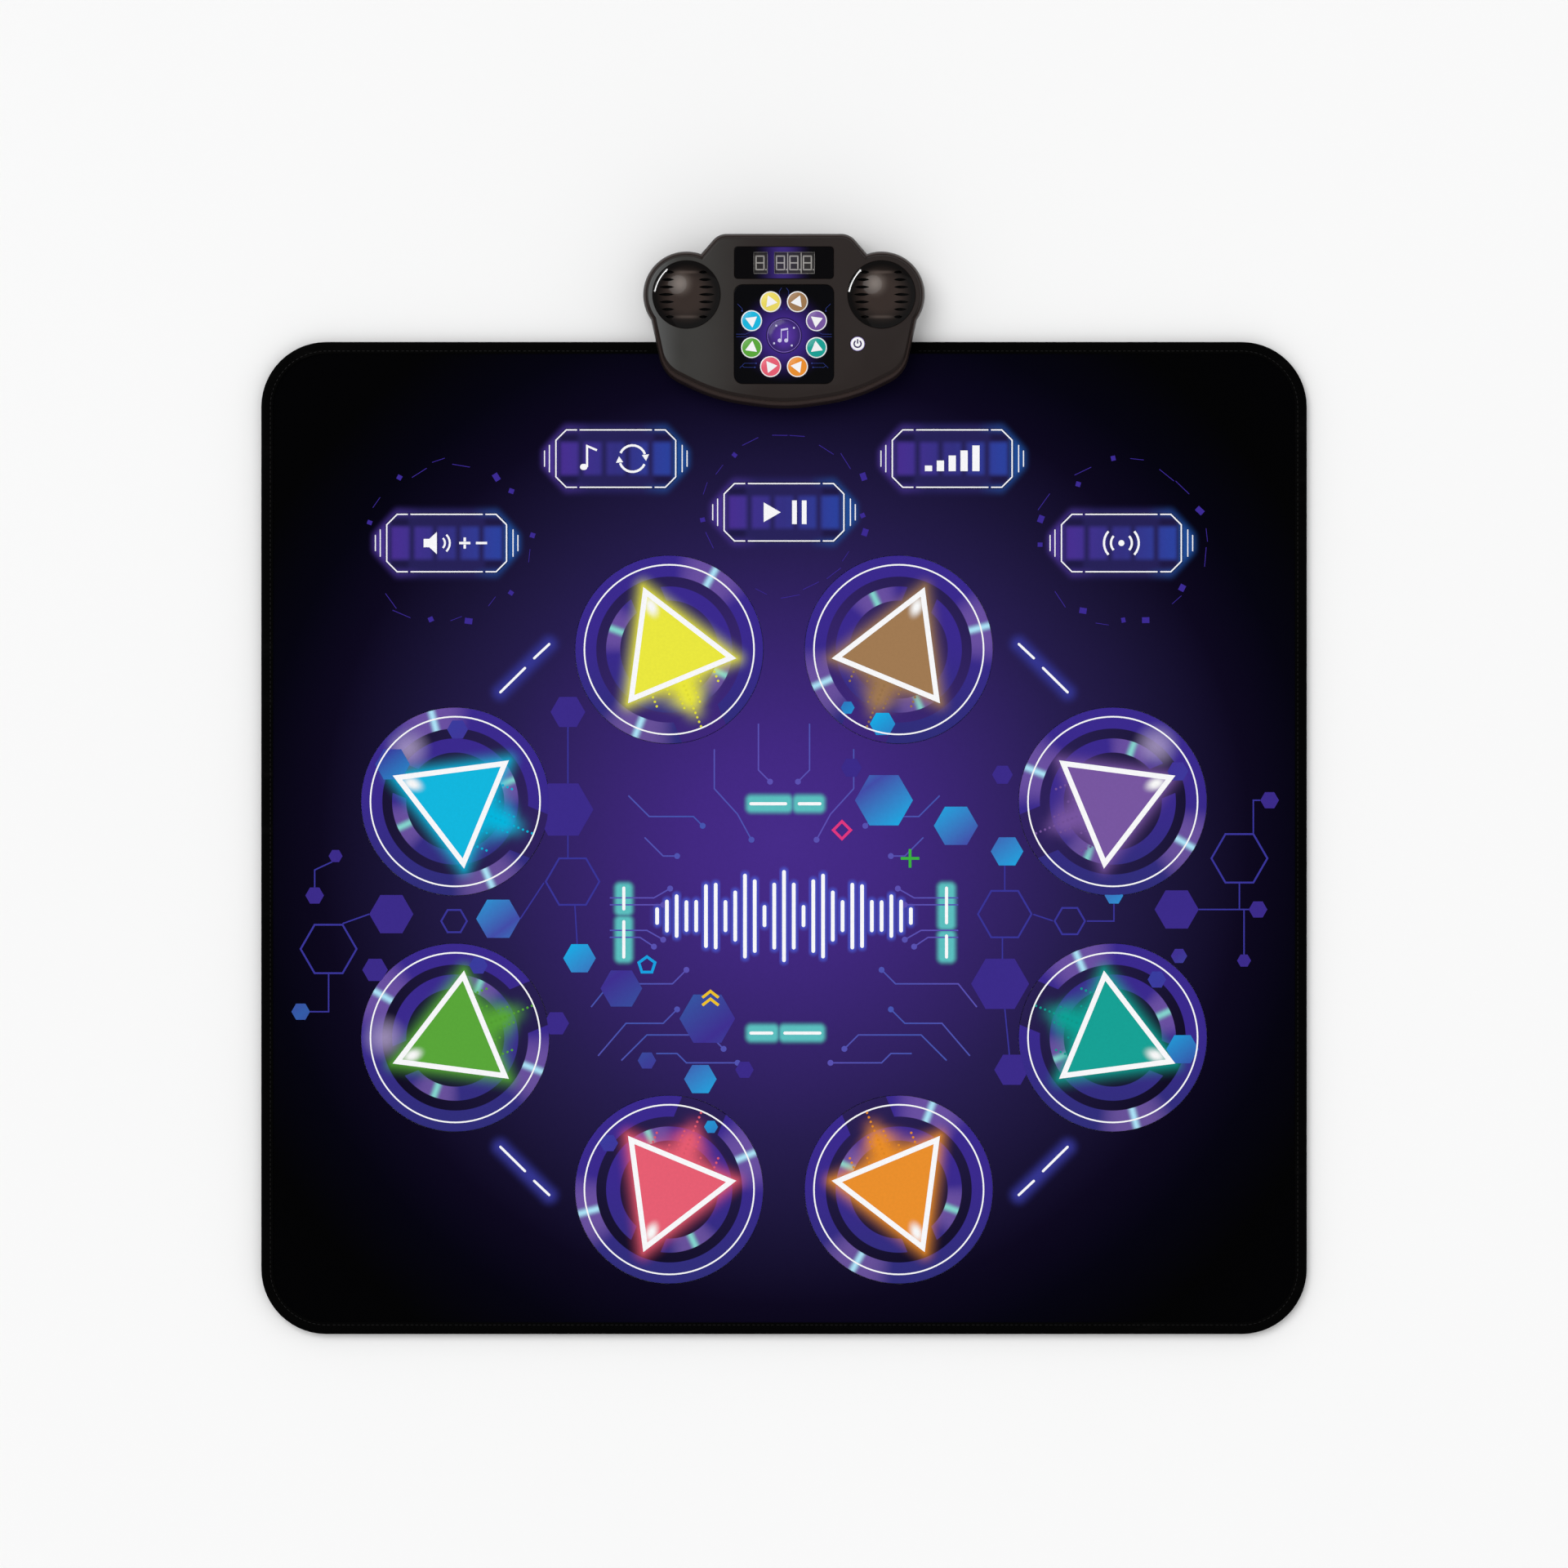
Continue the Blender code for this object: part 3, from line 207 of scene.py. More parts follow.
class ConsoleSettings(bpy.types.PropertyGroup):
    """The console on the mat's rear edge"""

    # The shell's edge and left colours are painted light: paler at its left edge and towards its left, as if
    # lit from there
    painted_edge_highlight: colour_setting("Shell edge", "shell at its left edge", 92, 93, 93)
    painted_light_left: colour_setting("Shell left", "shell at its left", 58, 57, 55)
    plastic_right: colour_setting("Shell right", "shell at its right", 42, 35, 33)
    # The rim's darker lines are painted shade
    rim_colour: colour_setting("Rim", "shell's rim; its lines are darker", 52, 41, 38)
    trim_colour: colour_setting("Under shell", "lower shell and the door", 38, 30, 28)
    dome_colour: colour_setting("Grilles", "speaker grilles", 54, 44, 40)
    digit_colour: colour_setting("Digits", "unlit digits", 181, 177, 173)
    digit_case: colour_setting("Digit case", "displays round the digits", 42, 38, 38)
    glow_colour: colour_setting("Window glow", "window's middle", 58, 40, 118)
    panel_colour: colour_setting("Panel glow", "panel's middle", 66, 41, 138)
    yellow_lens: colour_setting("Yellow lens", "yellow lens", 238, 220, 98)
    face_inset: length_setting("Face inset", "How far the face lies inside the outline", 0.0047)
    digit_height: length_setting("Digit height", "Height of one digit", 0.0127)
    digit_width: length_setting("Digit width", "Width of one digit", 0.0079)
    segment_width: length_setting("Segment width", "Width of a digit's segments", 0.0011)


class StageSettings(bpy.types.PropertyGroup):
    """Floor, light and camera"""

    field: length_setting("Field of view", "Width of what the camera sees at the floor", 1.350)
    camera_height: length_setting("Camera height", "Height of the camera over the floor", 40.0)
    key_spread: angle_setting("Main light spread", "Width of the main light seen from the mat", 40.0)
    fill_spread: angle_setting("Second light spread", "Width of the other light", 130.0)
    floor_colour: colour_setting("Floor", "floor", 252, 252, 252)


def chosen(part=""):
    """The settings of the mat, or of its pads or its console."""
    return getattr(bpy.context.scene, "dance_mat" + part)


# Outlines, as lists of x and y
def on_circle(centre, radius, degrees):
    angle = math.radians(degrees)
    return centre[0] + radius * math.cos(angle), centre[1] + radius * math.sin(angle)


def arc(centre, radius, first, last, step):
    return [on_circle(centre, radius, degrees) for degrees in range(first, last + 1, step)]


def polygon(centre, radius, sides, first=0.0):
    return [on_circle(centre, radius, first + 360 * k / sides) for k in range(sides)]


def rounded_corners(corners, inset=0.0, steps=8):
    """An outline with its sides moved inwards and its corners rounded. Corners run anticlockwise."""
    sides = []
    for i, (x, y, _, share) in enumerate(corners):
        start = Vector((x, y))
        along = (Vector(corners[(i + 1) % len(corners)][:2]) - start).normalized()
        sides.append((start + Vector((-along.y, along.x)) * inset * share, along))
    points = []
    for i, corner in enumerate(corners):
        (before, u), (after, v) = sides[i - 1], sides[i]
        turn = math.atan2(u.cross(v), u.dot(v))
        crossing = before + u * ((after - before).cross(v) / u.cross(v))
        radius = max(corner[2] - inset, 0.0001)
        centre = crossing - u * radius * math.tan(turn / 2) + Vector((-u.y, u.x)) * radius
        first = math.atan2(-u.x, u.y)
        for k in range(steps + 1):
            points.append(on_circle(centre, radius, math.degrees(first + turn * k / steps)))
    return points


def rectangle(low, high, radius, inset=0.0, steps=8):
    places = ((high.x, low.y), (high.x, high.y), (low.x, high.y), (low.x, low.y))
    return rounded_corners([(x, y, radius, 1.0) for x, y in places], inset, steps)


def control_half(grow):
    """The right half of a control pad's outline, round its middle and grown all round."""
    pads = chosen("_pads")
    x, y = pads.frame_width / 2 + grow, pads.frame_depth / 2 + grow
    cut = CONTROL_CORNER + grow * (2 - math.sqrt(2))
    return [(x - cut, -y), (x, cut - y), (x, y - cut), (x - cut, y)]


def control_outline(centre, grow):
    half = control_half(grow)
    return [(centre.x + side * x, centre.y + side * y) for side in (1, -1) for x, y in half]


def capsule(start, end, width, steps=5):
    """The outline of a straight line with round ends."""
    heading = math.degrees(math.atan2(end[1] - start[1], end[0] - start[0]))
    points = []
    for centre, turn in ((end, -90), (start, 90)):
        for k in range(steps + 1):
            points.append(on_circle(centre, width / 2, heading + turn + 180 * k / steps))
    return points


def with_steps(outline, pitch):
    """The outline with points added along its long sides."""
    points = []
    for i, start in enumerate(outline):
        start, end = Vector(start), Vector(outline[(i + 1) % len(outline)])
        count = max(1, round((end - start).length / pitch))
        points += [tuple(start.lerp(end, k / count)) for k in range(count)]
    return points


def way_round(outline):
    """How far along an outline each of its points lies, and its whole length last."""
    ways = [0.0]
    for a, b in zip(outline, outline[1:] + outline[:1]):
        ways.append(ways[-1] + (Vector(b) - Vector(a)).length)
    return ways


def outline_area(outline):
    pairs = zip(outline, outline[1:] + outline[:1])
    return abs(sum(a[0] * b[1] - b[0] * a[1] for a, b in pairs)) / 2


def millimetres(points):
    return [Vector(point) / 1000 for point in points]


# Shapes, each added to a bmesh
def add_flat(bm, outline, level=0.0):
    face = bm.faces.new([bm.verts.new((x, y, level)) for x, y in outline])
    face.normal_update()
    return face


def thicken(bm, faces, height):
    """Raises flat faces into closed plates."""
    raised = bmesh.ops.extrude_face_region(bm, geom=faces, use_keep_orig=True)
    tops = [item for item in raised["geom"] if isinstance(item, bmesh.types.BMVert)]
    bmesh.ops.translate(bm, vec=(0, 0, height), verts=tops)


def add_plate(bm, outline, low, high):
    thicken(bm, [add_flat(bm, outline, low)], high - low)


def add_box(bm, x, y, z):
    add_plate(bm, [(x[0], y[0]), (x[1], y[0]), (x[1], y[1]), (x[0], y[1])], z[0], z[1])


def add_frame(bm, outline, width, low, high):
    """A closed line of even width just inside an outline."""
    face = add_flat(bm, outline, low)
    settings = {"use_even_offset": True, "use_boundary": True}
    rim = bmesh.ops.inset_region(bm, faces=[face], thickness=width, **settings)["faces"]
    bmesh.ops.delete(bm, geom=[face], context="FACES_ONLY")
    thicken(bm, rim, high - low)


def add_line(bm, points, width, low, high):
    """An open line of even width, with mitred corners."""
    points = [Vector(point) for point in points]
    headings = [(b - a).normalized() for a, b in zip(points, points[1:])]
    sides = ([], [])
    for i, point in enumerate(points):
        before, after = headings[max(i - 1, 0)], headings[min(i, len(headings) - 1)]
        mitre = (before + after).normalized()
        normal = Vector((-mitre.y, mitre.x))
        reach = width / 2 / max(normal.dot(Vector((-after.y, after.x))), 0.3)
        for side, sign in zip(sides, (1, -1)):
            place = point + normal * reach * sign
            side.append(bm.verts.new((place.x, place.y, low)))
    chains = [bm.edges.new(pair) for side in sides for pair in zip(side, side[1:])]
    faces = bmesh.ops.bridge_loops(bm, edges=chains)["faces"]
    thicken(bm, faces, high - low)


def add_layers(bm, layers, ring=False):
    """Skins between flat outlines with equal numbers of points, closed by two caps or into a ring."""
    rows = []
    for i, (outline, _) in enumerate(layers):
        verts = [bm.verts.new((x, y, i)) for x, y in outline]
        rows.append((verts, [bm.edges.new((verts[k - 1], verts[k])) for k in range(len(verts))]))
    for (_, lower), (_, upper) in zip(rows, rows[1:] + (rows[:1] if ring else [])):
        bmesh.ops.bridge_loops(bm, edges=lower + upper)
    for (verts, _), (_, level) in zip(rows, layers):
        for vert in verts:
            vert.co.z = level
    if not ring:
        bm.faces.new(rows[0][0])
        bm.faces.new(rows[-1][0])


def add_turned(bm, profile, centre=(0.0, 0.0), steps=48, ring=False):
    """A profile of radius and level points turned about the upright line through a centre."""
    verts = [bm.verts.new((centre[0] + radius, centre[1], level)) for radius, level in profile]
    pairs = list(zip(verts, verts[1:])) + ([(verts[-1], verts[0])] if ring else [])
    geometry = verts + [bm.edges.new(pair) for pair in pairs]
    axis = {"cent": (centre[0], centre[1], 0.0), "axis": (0, 0, 1), "angle": 2 * math.pi}
    bmesh.ops.spin(bm, geom=geometry, steps=steps, use_merge=True, **axis)
    bmesh.ops.remove_doubles(bm, verts=bm.verts, dist=1e-7)


def repeat(bm, places):
    """Replaces a small shape by copies of it, each moved by a matrix."""
    pattern = bpy.data.meshes.new("pattern")
    bm.to_mesh(pattern)
    bm.clear()
    for place in places:
        before = len(bm.verts)
        bm.from_mesh(pattern)
        bm.verts.ensure_lookup_table()
        for vert in bm.verts[before:]:
            vert.co = place @ vert.co
    bpy.data.meshes.remove(pattern)


# Pieces
def new_object(name, bm, crease=35.0):
    bmesh.ops.recalc_face_normals(bm, faces=bm.faces)
    mesh = bpy.data.meshes.new(name)
    bm.to_mesh(mesh)
    bm.free()
    mesh.shade_smooth()
    mesh.set_sharp_from_angle(angle=math.radians(crease))
    obj = bpy.data.objects.new(name, mesh)
    bpy.context.scene.collection.objects.link(obj)
    return obj


def make_piece(name, bm, material, replaces=None, body=MAIN_BODY, crease=35.0):
    obj = new_object(name, bm, crease)
    obj.data.materials.append(material)
    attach(obj, body)
    if replaces:
        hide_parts(replaces)
    return obj


def combine(obj, bm, operation="DIFFERENCE"):
    """Cuts a shape from the piece, or joins it on."""
    helper = new_object("helper", bm)
    modifier = obj.modifiers.new("combine", "BOOLEAN")
    modifier.operation = operation
    modifier.solver = "EXACT"
    modifier.object = helper
    graph = bpy.context.evaluated_depsgraph_get()
    mesh = bpy.data.meshes.new_from_object(obj.evaluated_get(graph))
    obj.modifiers.clear()
    obj.data, old = mesh, obj.data
    bpy.data.meshes.remove(old)
    bpy.data.objects.remove(helper)


def round_edges(obj, width):
    modifier = obj.modifiers.new("round_edges", "BEVEL")
    modifier.width = width
    modifier.segments = 2
    modifier.limit_method = "ANGLE"
    modifier.angle_limit = math.radians(40)
    modifier.harden_normals = True


def refined(node, material, rounding=0.0):
    """A copy of a solid with its flat faces whole and its edges rounded, which stands for it."""
    bm = bmesh.new()
    bm.from_mesh(frame["nodes"][node].data)
    bmesh.ops.remove_doubles(bm, verts=bm.verts, dist=1e-6)
    bmesh.ops.dissolve_limit(bm, angle_limit=math.radians(0.5), verts=bm.verts, edges=bm.edges)
    body = frame["nodes"][node]["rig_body"]
    obj = make_piece(node + "_finished", bm, material, node, body)
    if rounding:
        round_edges(obj, rounding)
    return obj


def dress(node, material):
    """A better material on a solid that stays."""
    obj = frame["nodes"][node]
    obj.data.materials.clear()
    obj.data.materials.append(material)


# Node graphs
FLAT = (1.0, 1.0, 0.0)
# A glow is drawn as the eye sees it, so its strength is raised to this power before colours are mixed
GLOW_POWER = 1.8


class Value:
    """A value in a node graph. Arithmetic with it adds a node and gives that node's value."""

    def __init__(self, graph, socket):
        self.graph = graph
        self.socket = socket

    def do(self, operation, *others):
        return self.graph.math(operation, self, *others)

    def do_last(self, operation, first):
        return self.graph.math(operation, first, self)

    __add__ = partialmethod(do, "ADD")
    __sub__ = partialmethod(do, "SUBTRACT")
    __rsub__ = partialmethod(do_last, "SUBTRACT")
    __mul__ = partialmethod(do, "MULTIPLY")
    __truediv__ = partialmethod(do, "DIVIDE")
    __rtruediv__ = partialmethod(do_last, "DIVIDE")
    __pow__ = partialmethod(do, "POWER")
    __gt__ = partialmethod(do, "GREATER_THAN")
    __lt__ = partialmethod(do, "LESS_THAN")
    __abs__ = partialmethod(do, "ABSOLUTE")

    def fade(self, start, end):
        """0 before start and 1 after end, or the other way round where end is the smaller."""
        inputs = {"Value": self, "From Min": start, "From Max": end}
        return self.graph.add("MapRange", inputs, interpolation_type="SMOOTHSTEP")

    def glow(self, start, end):
        return self.fade(start, end) ** GLOW_POWER

    def span(self, start, end, first, last):
        inputs = {"Value": self, "From Min": start, "From Max": end, "To Min": first, "To Max": last}
        return self.graph.add("MapRange", inputs)

    def mix(self, first, second):
        """The first colour where this is 0, and the second where it is 1."""
        return self.graph.mix(self, first, second)

    def ramp(self, stops):
        """The colours of the stops, each at its place from 0 to 1."""
        colour = self.graph.add("ValToRGB", {0: self})
        elements = colour.socket.node.color_ramp.elements
        while len(elements) < len(stops):
            elements.new(0.5)
        for element, (place, tone) in zip(elements, stops):
            element.position = place
            element.color = (*tone, 1.0)
        return colour

    def split(self):
        x = self.graph.add("SeparateXYZ", {0: self})
        return [Value(self.graph, output) for output in x.socket.node.outputs]


class Graph:
    """Adds nodes to a tree and links them."""

    def __init__(self, tree):
        self.tree = tree

    def add(self, kind, inputs=None, output=0, **settings):
        node = self.tree.nodes.new("ShaderNode" + kind)
        for key, value in settings.items():
            setattr(node, key, value)
        for key, value in (inputs or {}).items():
            self.feed(node.inputs[key], value)
        return Value(self, node.outputs[output])

    def feed(self, socket, value):
        if isinstance(value, Value):
            self.tree.links.new(value.socket, socket)
        elif socket.type == "RGBA" and len(value) == 3:
            socket.default_value = (*value, 1.0)
        else:
            socket.default_value = value

    def math(self, operation, *values):
        """A Math node, or a Vector Math node where a value is a vector."""
        vector = any(isinstance(v, Value) and v.socket.type == "VECTOR" for v in values)
        output = 1 if operation in ("LENGTH", "DISTANCE", "DOT_PRODUCT") else 0
        kind = "VectorMath" if vector else "Math"
        return self.add(kind, dict(enumerate(values)), output, operation=operation)

    def mix(self, share, first, second, blend="MIX"):
        inputs = {0: share, 6: first, 7: second}
        return self.add("Mix", inputs, 2, data_type="RGBA", blend_type=blend)

    def noise(self, position, scale, detail=2.0, roughness=0.5):
        inputs = {"Vector": position, "Scale": scale, "Detail": detail, "Roughness": roughness}
        return self.add("TexNoise", inputs)

    def join(self, x, y, z=0.0):
        return self.add("CombineXYZ", {0: x, 1: y, 2: z})


def node_group(name, inputs, outputs):
    """Makes a function into a node group, which is built once and placed by each call."""

    def wrap(build):
        trees = []

        def place(graph, *values):
            if not trees:
                tree = bpy.data.node_groups.new(name, "ShaderNodeTree")
                for side, sockets in (("INPUT", inputs), ("OUTPUT", outputs)):
                    for label, kind in sockets.items():
                        tree.interface.new_socket(label, in_out=side, socket_type="NodeSocket" + kind)
                inner = Graph(tree)
                source = tree.nodes.new("NodeGroupInput").outputs
                result = tree.nodes.new("NodeGroupOutput").inputs
                built = build(inner, *(Value(inner, source[label]) for label in inputs))
                for label, value in zip(outputs, built):
                    inner.feed(result[label], value)
                trees.append(tree)
            first = graph.add("Group", dict(zip(inputs, values)), node_tree=trees[0])
            found = [Value(graph, output) for output in first.socket.node.outputs]
            return found if len(found) > 1 else found[0]

        return place

    return wrap


@node_group("printed_field", {"Position": "Vector"}, {"Colour": "Color"})
def printed_field(graph, position):
    """The cover's own colour: indigo in the middle and black towards the edges."""
    settings = chosen()
    reach = 0.56
    away = (position * FLAT).do("DISTANCE", (0.0, -0.0485, 0.0))
    stops = [(0.0, settings.centre_colour), (0.080, [0.88 * c for c in settings.centre_colour])]
    stops += [(0.185, display(52, 35, 104)), (0.255, display(39, 29, 80)), (0.295, settings.rim_colour)]
    stops += [(0.345, display(24, 18, 52)), (0.400, display(11, 6, 30)), (0.455, display(3, 2, 15))]
    stops += [(0.520, display(1, 1, 2))]
    return [(away / reach).ramp([(place / reach, tone) for place, tone in stops])]


@node_group("plain_weave", {"Position": "Vector", "Pitch": "Float"}, {"Height": "Float", "Shade": "Float"})
def plain_weave(graph, position, pitch):
    """The fine plain weave under the print: height, and a shade that follows it."""
    turns = 2 * math.pi / pitch
    x, y, _ = graph.add("VectorMath", {0: position, "Scale": turns}, operation="SCALE").split()
    height = x.do("SINE") * y.do("SINE") * 0.5 + graph.noise(position, 420.0, 3.0)
    return height, height.span(0.0, 1.0, 0.94, 1.06)


@node_group(
    "moulded_grain",
    {"Position": "Vector", "Scale": "Float", "Roughness": "Float"},
    {"Height": "Float", "Roughness": "Float", "Shade": "Float"},
)
def moulded_grain(graph, position, scale, roughness):
    """The fine spark finish of moulded plastic: height, roughness and shade."""
    fine = graph.noise(position, scale, 3.0, 0.6)
    broad = graph.noise(position, 26.0)
    spread = broad.span(0.3, 0.7, -0.05, 0.05)
    rough = graph.add("Math", {0: roughness, 1: spread}, use_clamp=True)
    return fine, rough, broad.span(0.25, 0.75, 0.95, 1.05)


@node_group("rubbed_streaks", {"Position": "Vector", "Amount": "Float"}, {"Mask": "Float"})
def rubbed_streaks(graph, position, amount):
    """Faint streaks where shoes and hands rub: a mask for roughness or colour."""
    stretched = graph.add("Mapping", {"Vector": position, "Scale": (14.0, 60.0, 14.0)})
    streaks = graph.noise(stretched, 1.0, 5.0, 0.65)
    patches = graph.noise(position, 5.0)
    return [streaks.fade(0.52, 0.72) * patches.fade(0.45, 0.65) * amount]


class Finish(Graph):
    """A new material: its nodes, and what most finishes feed to its Principled shader."""

    def __init__(self, name, roughness, specular=0.5, metallic=0.0):
        self.material = bpy.data.materials.new(name)
        self.material.use_nodes = True
        super().__init__(self.material.node_tree)
        self.shader = self.tree.nodes["Principled BSDF"].inputs
        self.rough(roughness)
        self.feed(self.shader["Specular IOR Level"], specular)
        self.feed(self.shader["Metallic"], metallic)
        self.place = self.add("TexCoord", output=3)

    def placed(self, centre, degrees=0.0):
        """Object coordinates, measured from a centre and turned to a heading."""
        turn = math.radians(-degrees)
        moved = Matrix.Rotation(turn, 2) @ -Vector(centre)
        inputs = {"Vector": self.place, "Location": (*moved, 0.0), "Rotation": (0.0, 0.0, turn)}
        return self.add("Mapping", inputs, vector_type="POINT")

    def colour(self, colour, shade=None):
        """The base colour, times a value near 1 where one is given."""
        if shade:
            colour = self.mix(1.0, colour, self.join(shade, shade, shade), "MULTIPLY")
        self.feed(self.shader["Base Color"], colour)

    def rough(self, roughness):
        self.feed(self.shader["Roughness"], roughness)

    def haze(self, low, high, scale=60.0):
        """Roughness that drifts a little, as handled gloss has."""
        drift = self.noise(self.place, scale, 3.0)
        self.rough(drift.span(0.3, 0.7, low, high))
        return drift

    def bump(self, height, strength, distance):
        """The last step of a finish, which gives its material."""
        inputs = {"Height": height, "Strength": strength, "Distance": distance}
        self.feed(self.shader["Normal"], self.add("Bump", inputs))
        return self.material

    def vinyl(self, colour, roughness=0.5):
        """The coated cloth that carries the print: weave, rubbed streaks and its colour."""
        height, shade = plain_weave(self, self.place, 0.0011)
        self.colour(colour, shade)
        self.rough(self.math("ADD", roughness, rubbed_streaks(self, self.place, 0.5) * 0.2))
        return self.bump(height, 0.25, 0.0001)

    def moulded(self, colour, roughness, scale, depth):
        height, rough, shade = moulded_grain(self, self.place, scale, roughness)
        self.colour(colour, shade)
        self.rough(rough)
        return self.bump(height, 0.3, depth)


def plastic(name, colour, roughness, specular=0.4, scale=2600.0, depth=0.00003):
    return Finish(name, roughness, specular).moulded(colour, roughness, scale, depth)


def metal(name, colour, roughness):
    finish = Finish(name, roughness, metallic=1.0)
    brushed = finish.add("Mapping", {"Vector": finish.place, "Scale": (1.0, 0.06, 1.0)})
    lines = finish.noise(brushed, 900.0, 3.0)
    finish.colour(colour, lines.span(0.3, 0.7, 0.9, 1.05))
    finish.rough(lines.span(0.3, 0.7, roughness - 0.08, roughness + 0.08))
    return finish.bump(lines, 0.2, 0.00002)


def foam(name, colour):
    finish = Finish(name, 0.95, 0.1)
    cells = finish.add("TexVoronoi", {"Vector": finish.place, "Scale": 900.0})
    # Darker in the pits of the cells that the bump sinks: painted shade
    finish.colour(colour, cells.span(0.0, 0.6, 0.75, 1.1))
    return finish.bump(cells, 0.6, 0.0003)


def ink(name, colour):
    """Print laid on the cover as a thin film of its own."""
    return bpy.data.materials.get(name) or Finish(name, 0.5, 0.04).vinyl(colour)


def white_ink():
    return ink("white_print", chosen().ink_white)


def graded_ink(name, first, second):
    """Print whose colour changes slantwise, back and forth."""
    finish = Finish(name, 0.5, 0.04)
    x, y, _ = finish.place.split()
    share = ((y * 0.8 + x * -0.6) * 22.0).do("PINGPONG", 1.0)
    return finish.vinyl((share ** 0.8).mix(first, second))


# Parts of the print that need their own formulas
def box_distance(position, centre, half, corner):
    """How far a point lies outside a box with rounded corners."""
    moved = abs(position - (centre[0], centre[1], 0.0))
    outside = (moved - (half[0] - corner, half[1] - corner, 1.0)).do("MAXIMUM", (0.0, 0.0, 0.0))
    return outside.do("LENGTH") - corner


def line_distance(position, start, end):
    """How far a point lies from a straight line between two points."""
    along = Vector((*end, 0.0)) - Vector((*start, 0.0))
    moved = position - (*start, 0.0)
    share = moved.do("DOT_PRODUCT", along) / along.length_squared
    share = share.do("MAXIMUM", 0.0).do("MINIMUM", 1.0)
    graph = position.graph
    return (moved - graph.math("MULTIPLY", along, graph.join(share, share))).do("LENGTH")


@node_group("frame_glow", {"Position": "Vector", "Side": "Float"}, {"Mask": "Float", "Colour": "Color"})
def frame_glow(graph, position, side):
    """The light round a control pad's frame and its side bars: a mask and a colour."""
    pads = chosen("_pads")
    x, y, _ = position.split()
    ends = abs(x) - (pads.frame_width / 2 + 0.0095)
    sides = abs(y) - (pads.frame_depth / 2 + 0.0025)
    slope, reach, blend = 0.9, 0.0683, 0.005
    corners = (abs(x) + abs(y) * slope - reach) / math.hypot(1.0, slope)
    away = ends.do("SMOOTH_MAX", sides, blend).do("SMOOTH_MAX", corners, blend)
    share = (x * side).span(-0.055, 0.055, 0.0, 1.0)
    stops = [(0.0, pads.frame_left), (0.3, pads.frame_middle), (0.7, pads.frame_middle)]
    return away.glow(0.0075, -0.0035), share.ramp(stops + [(1.0, pads.frame_right)])


# The middle of the play field: soft bars round a row of sound bars. Each soft bar has its direction,
# its place, its span and its white line's span.
CAPSULE_DEPTH = 0.0171
CAPSULES = (
    ("x", -0.0170, (-0.0335, 0.0083), (-0.0285, 0.0014)),
    ("x", -0.0170, (0.0067, 0.0362), (0.0131, 0.0309)),
    ("x", -0.2144, (-0.0335, -0.0036), (-0.0285, -0.0105)),
    ("x", -0.2144, (-0.0052, 0.0362), (0.0007, 0.0309)),
    ("y", -0.1379, (-0.1142, -0.0840), (-0.1076, -0.0896)),
    ("y", -0.1379, (-0.1547, -0.1126), (-0.1490, -0.1185)),
    ("y", 0.1399, (-0.1265, -0.0838), (-0.1195, -0.0896)),
    ("y", 0.1399, (-0.1548, -0.1249), (-0.1490, -0.1308)),
)
DASHES = (((0.2441, 0.1957), (0.2230, 0.2165)), ((0.2150, 0.2250), (0.2021, 0.2371)))
DASH_WIDTH = 0.0021
WAVE_MIDDLE = -0.1137
WAVE_PITCH = 0.0084
WAVE_BAR = 0.0032
WAVE_COUNT = 13
WAVE_LOW = 0.0050
WAVE_SWING = 0.0330
WAVE_TURN = 0.83


def wave_reach(k):
    """Half the length of the sound bar at place k from the middle one."""
    return WAVE_LOW + WAVE_SWING * abs(math.cos(WAVE_TURN * k)) * (1 - (k / (WAVE_COUNT + 1)) ** 2)


def wave_glow(position):
    """The light round the sound bars, from the same formula as the bars."""
    x, y, _ = position.split()
    k = (x / WAVE_PITCH).do("ROUND")
    swing = abs((k * WAVE_TURN).do("COSINE")) * (1.0 - (abs(k) / (WAVE_COUNT + 1)) ** 2.0)
    over = (abs(y - WAVE_MIDDLE) - (swing * WAVE_SWING + WAVE_LOW)).do("MAXIMUM", 0.0)
    away = position.graph.join(abs(x - k * WAVE_PITCH), over).do("LENGTH")
    inside = abs(x).fade(WAVE_PITCH * (WAVE_COUNT + 0.9), WAVE_PITCH * WAVE_COUNT)
    return away.fade(0.0062, 0.0006) * inside


def cover_material():
    """The whole cover's print, apart from its crisp lines, which are pieces of their own."""
    finish = Finish("printed_cover", 0.55, 0.012)
    colour = printed_field(finish, finish.place)
    x, y, _ = finish.place.split()
    for name in ("start", "level", "wireless"):
        centre = CONTROL_CENTRES[name]
        across, side = (x, 1.0) if name == "start" else (abs(x) - centre.x, x.do("SIGN"))
        mask, light = frame_glow(finish, finish.join(across, y - centre.y), side)
        colour = mask.mix(colour, light)

    folded = finish.join(abs(x), abs(y - PLAY_MIDDLE.y))
    away = line_distance(folded, DASHES[0][0], DASHES[1][1])
    colour = away.glow(0.0145, 0.0005).mix(colour, display(52, 53, 142))

    nearest = None
    for axis, line, (first, last), _ in CAPSULES:
        centre, half = ((first + last) / 2, line), ((last - first) / 2, CAPSULE_DEPTH / 2)
        if axis == "y":
            centre, half = centre[::-1], half[::-1]
        away = box_distance(finish.place * FLAT, centre, half, 0.0055)
        nearest = nearest.do("MINIMUM", away) if nearest else away
    colour = nearest.glow(0.0032, -0.0038).mix(colour, chosen().capsule_colour)
    colour = (wave_glow(finish.place) * 0.8).mix(colour, display(76, 92, 214))
    return finish.vinyl(colour, 0.55)


ARROW_PRINT_INPUTS = {"Position": "Vector", "Upright": "Vector", "Field": "Color", "Arrow": "Color"}
ARROW_PRINT_INPUTS |= {"Flare": "Vector", "Flare Strength": "Float"}


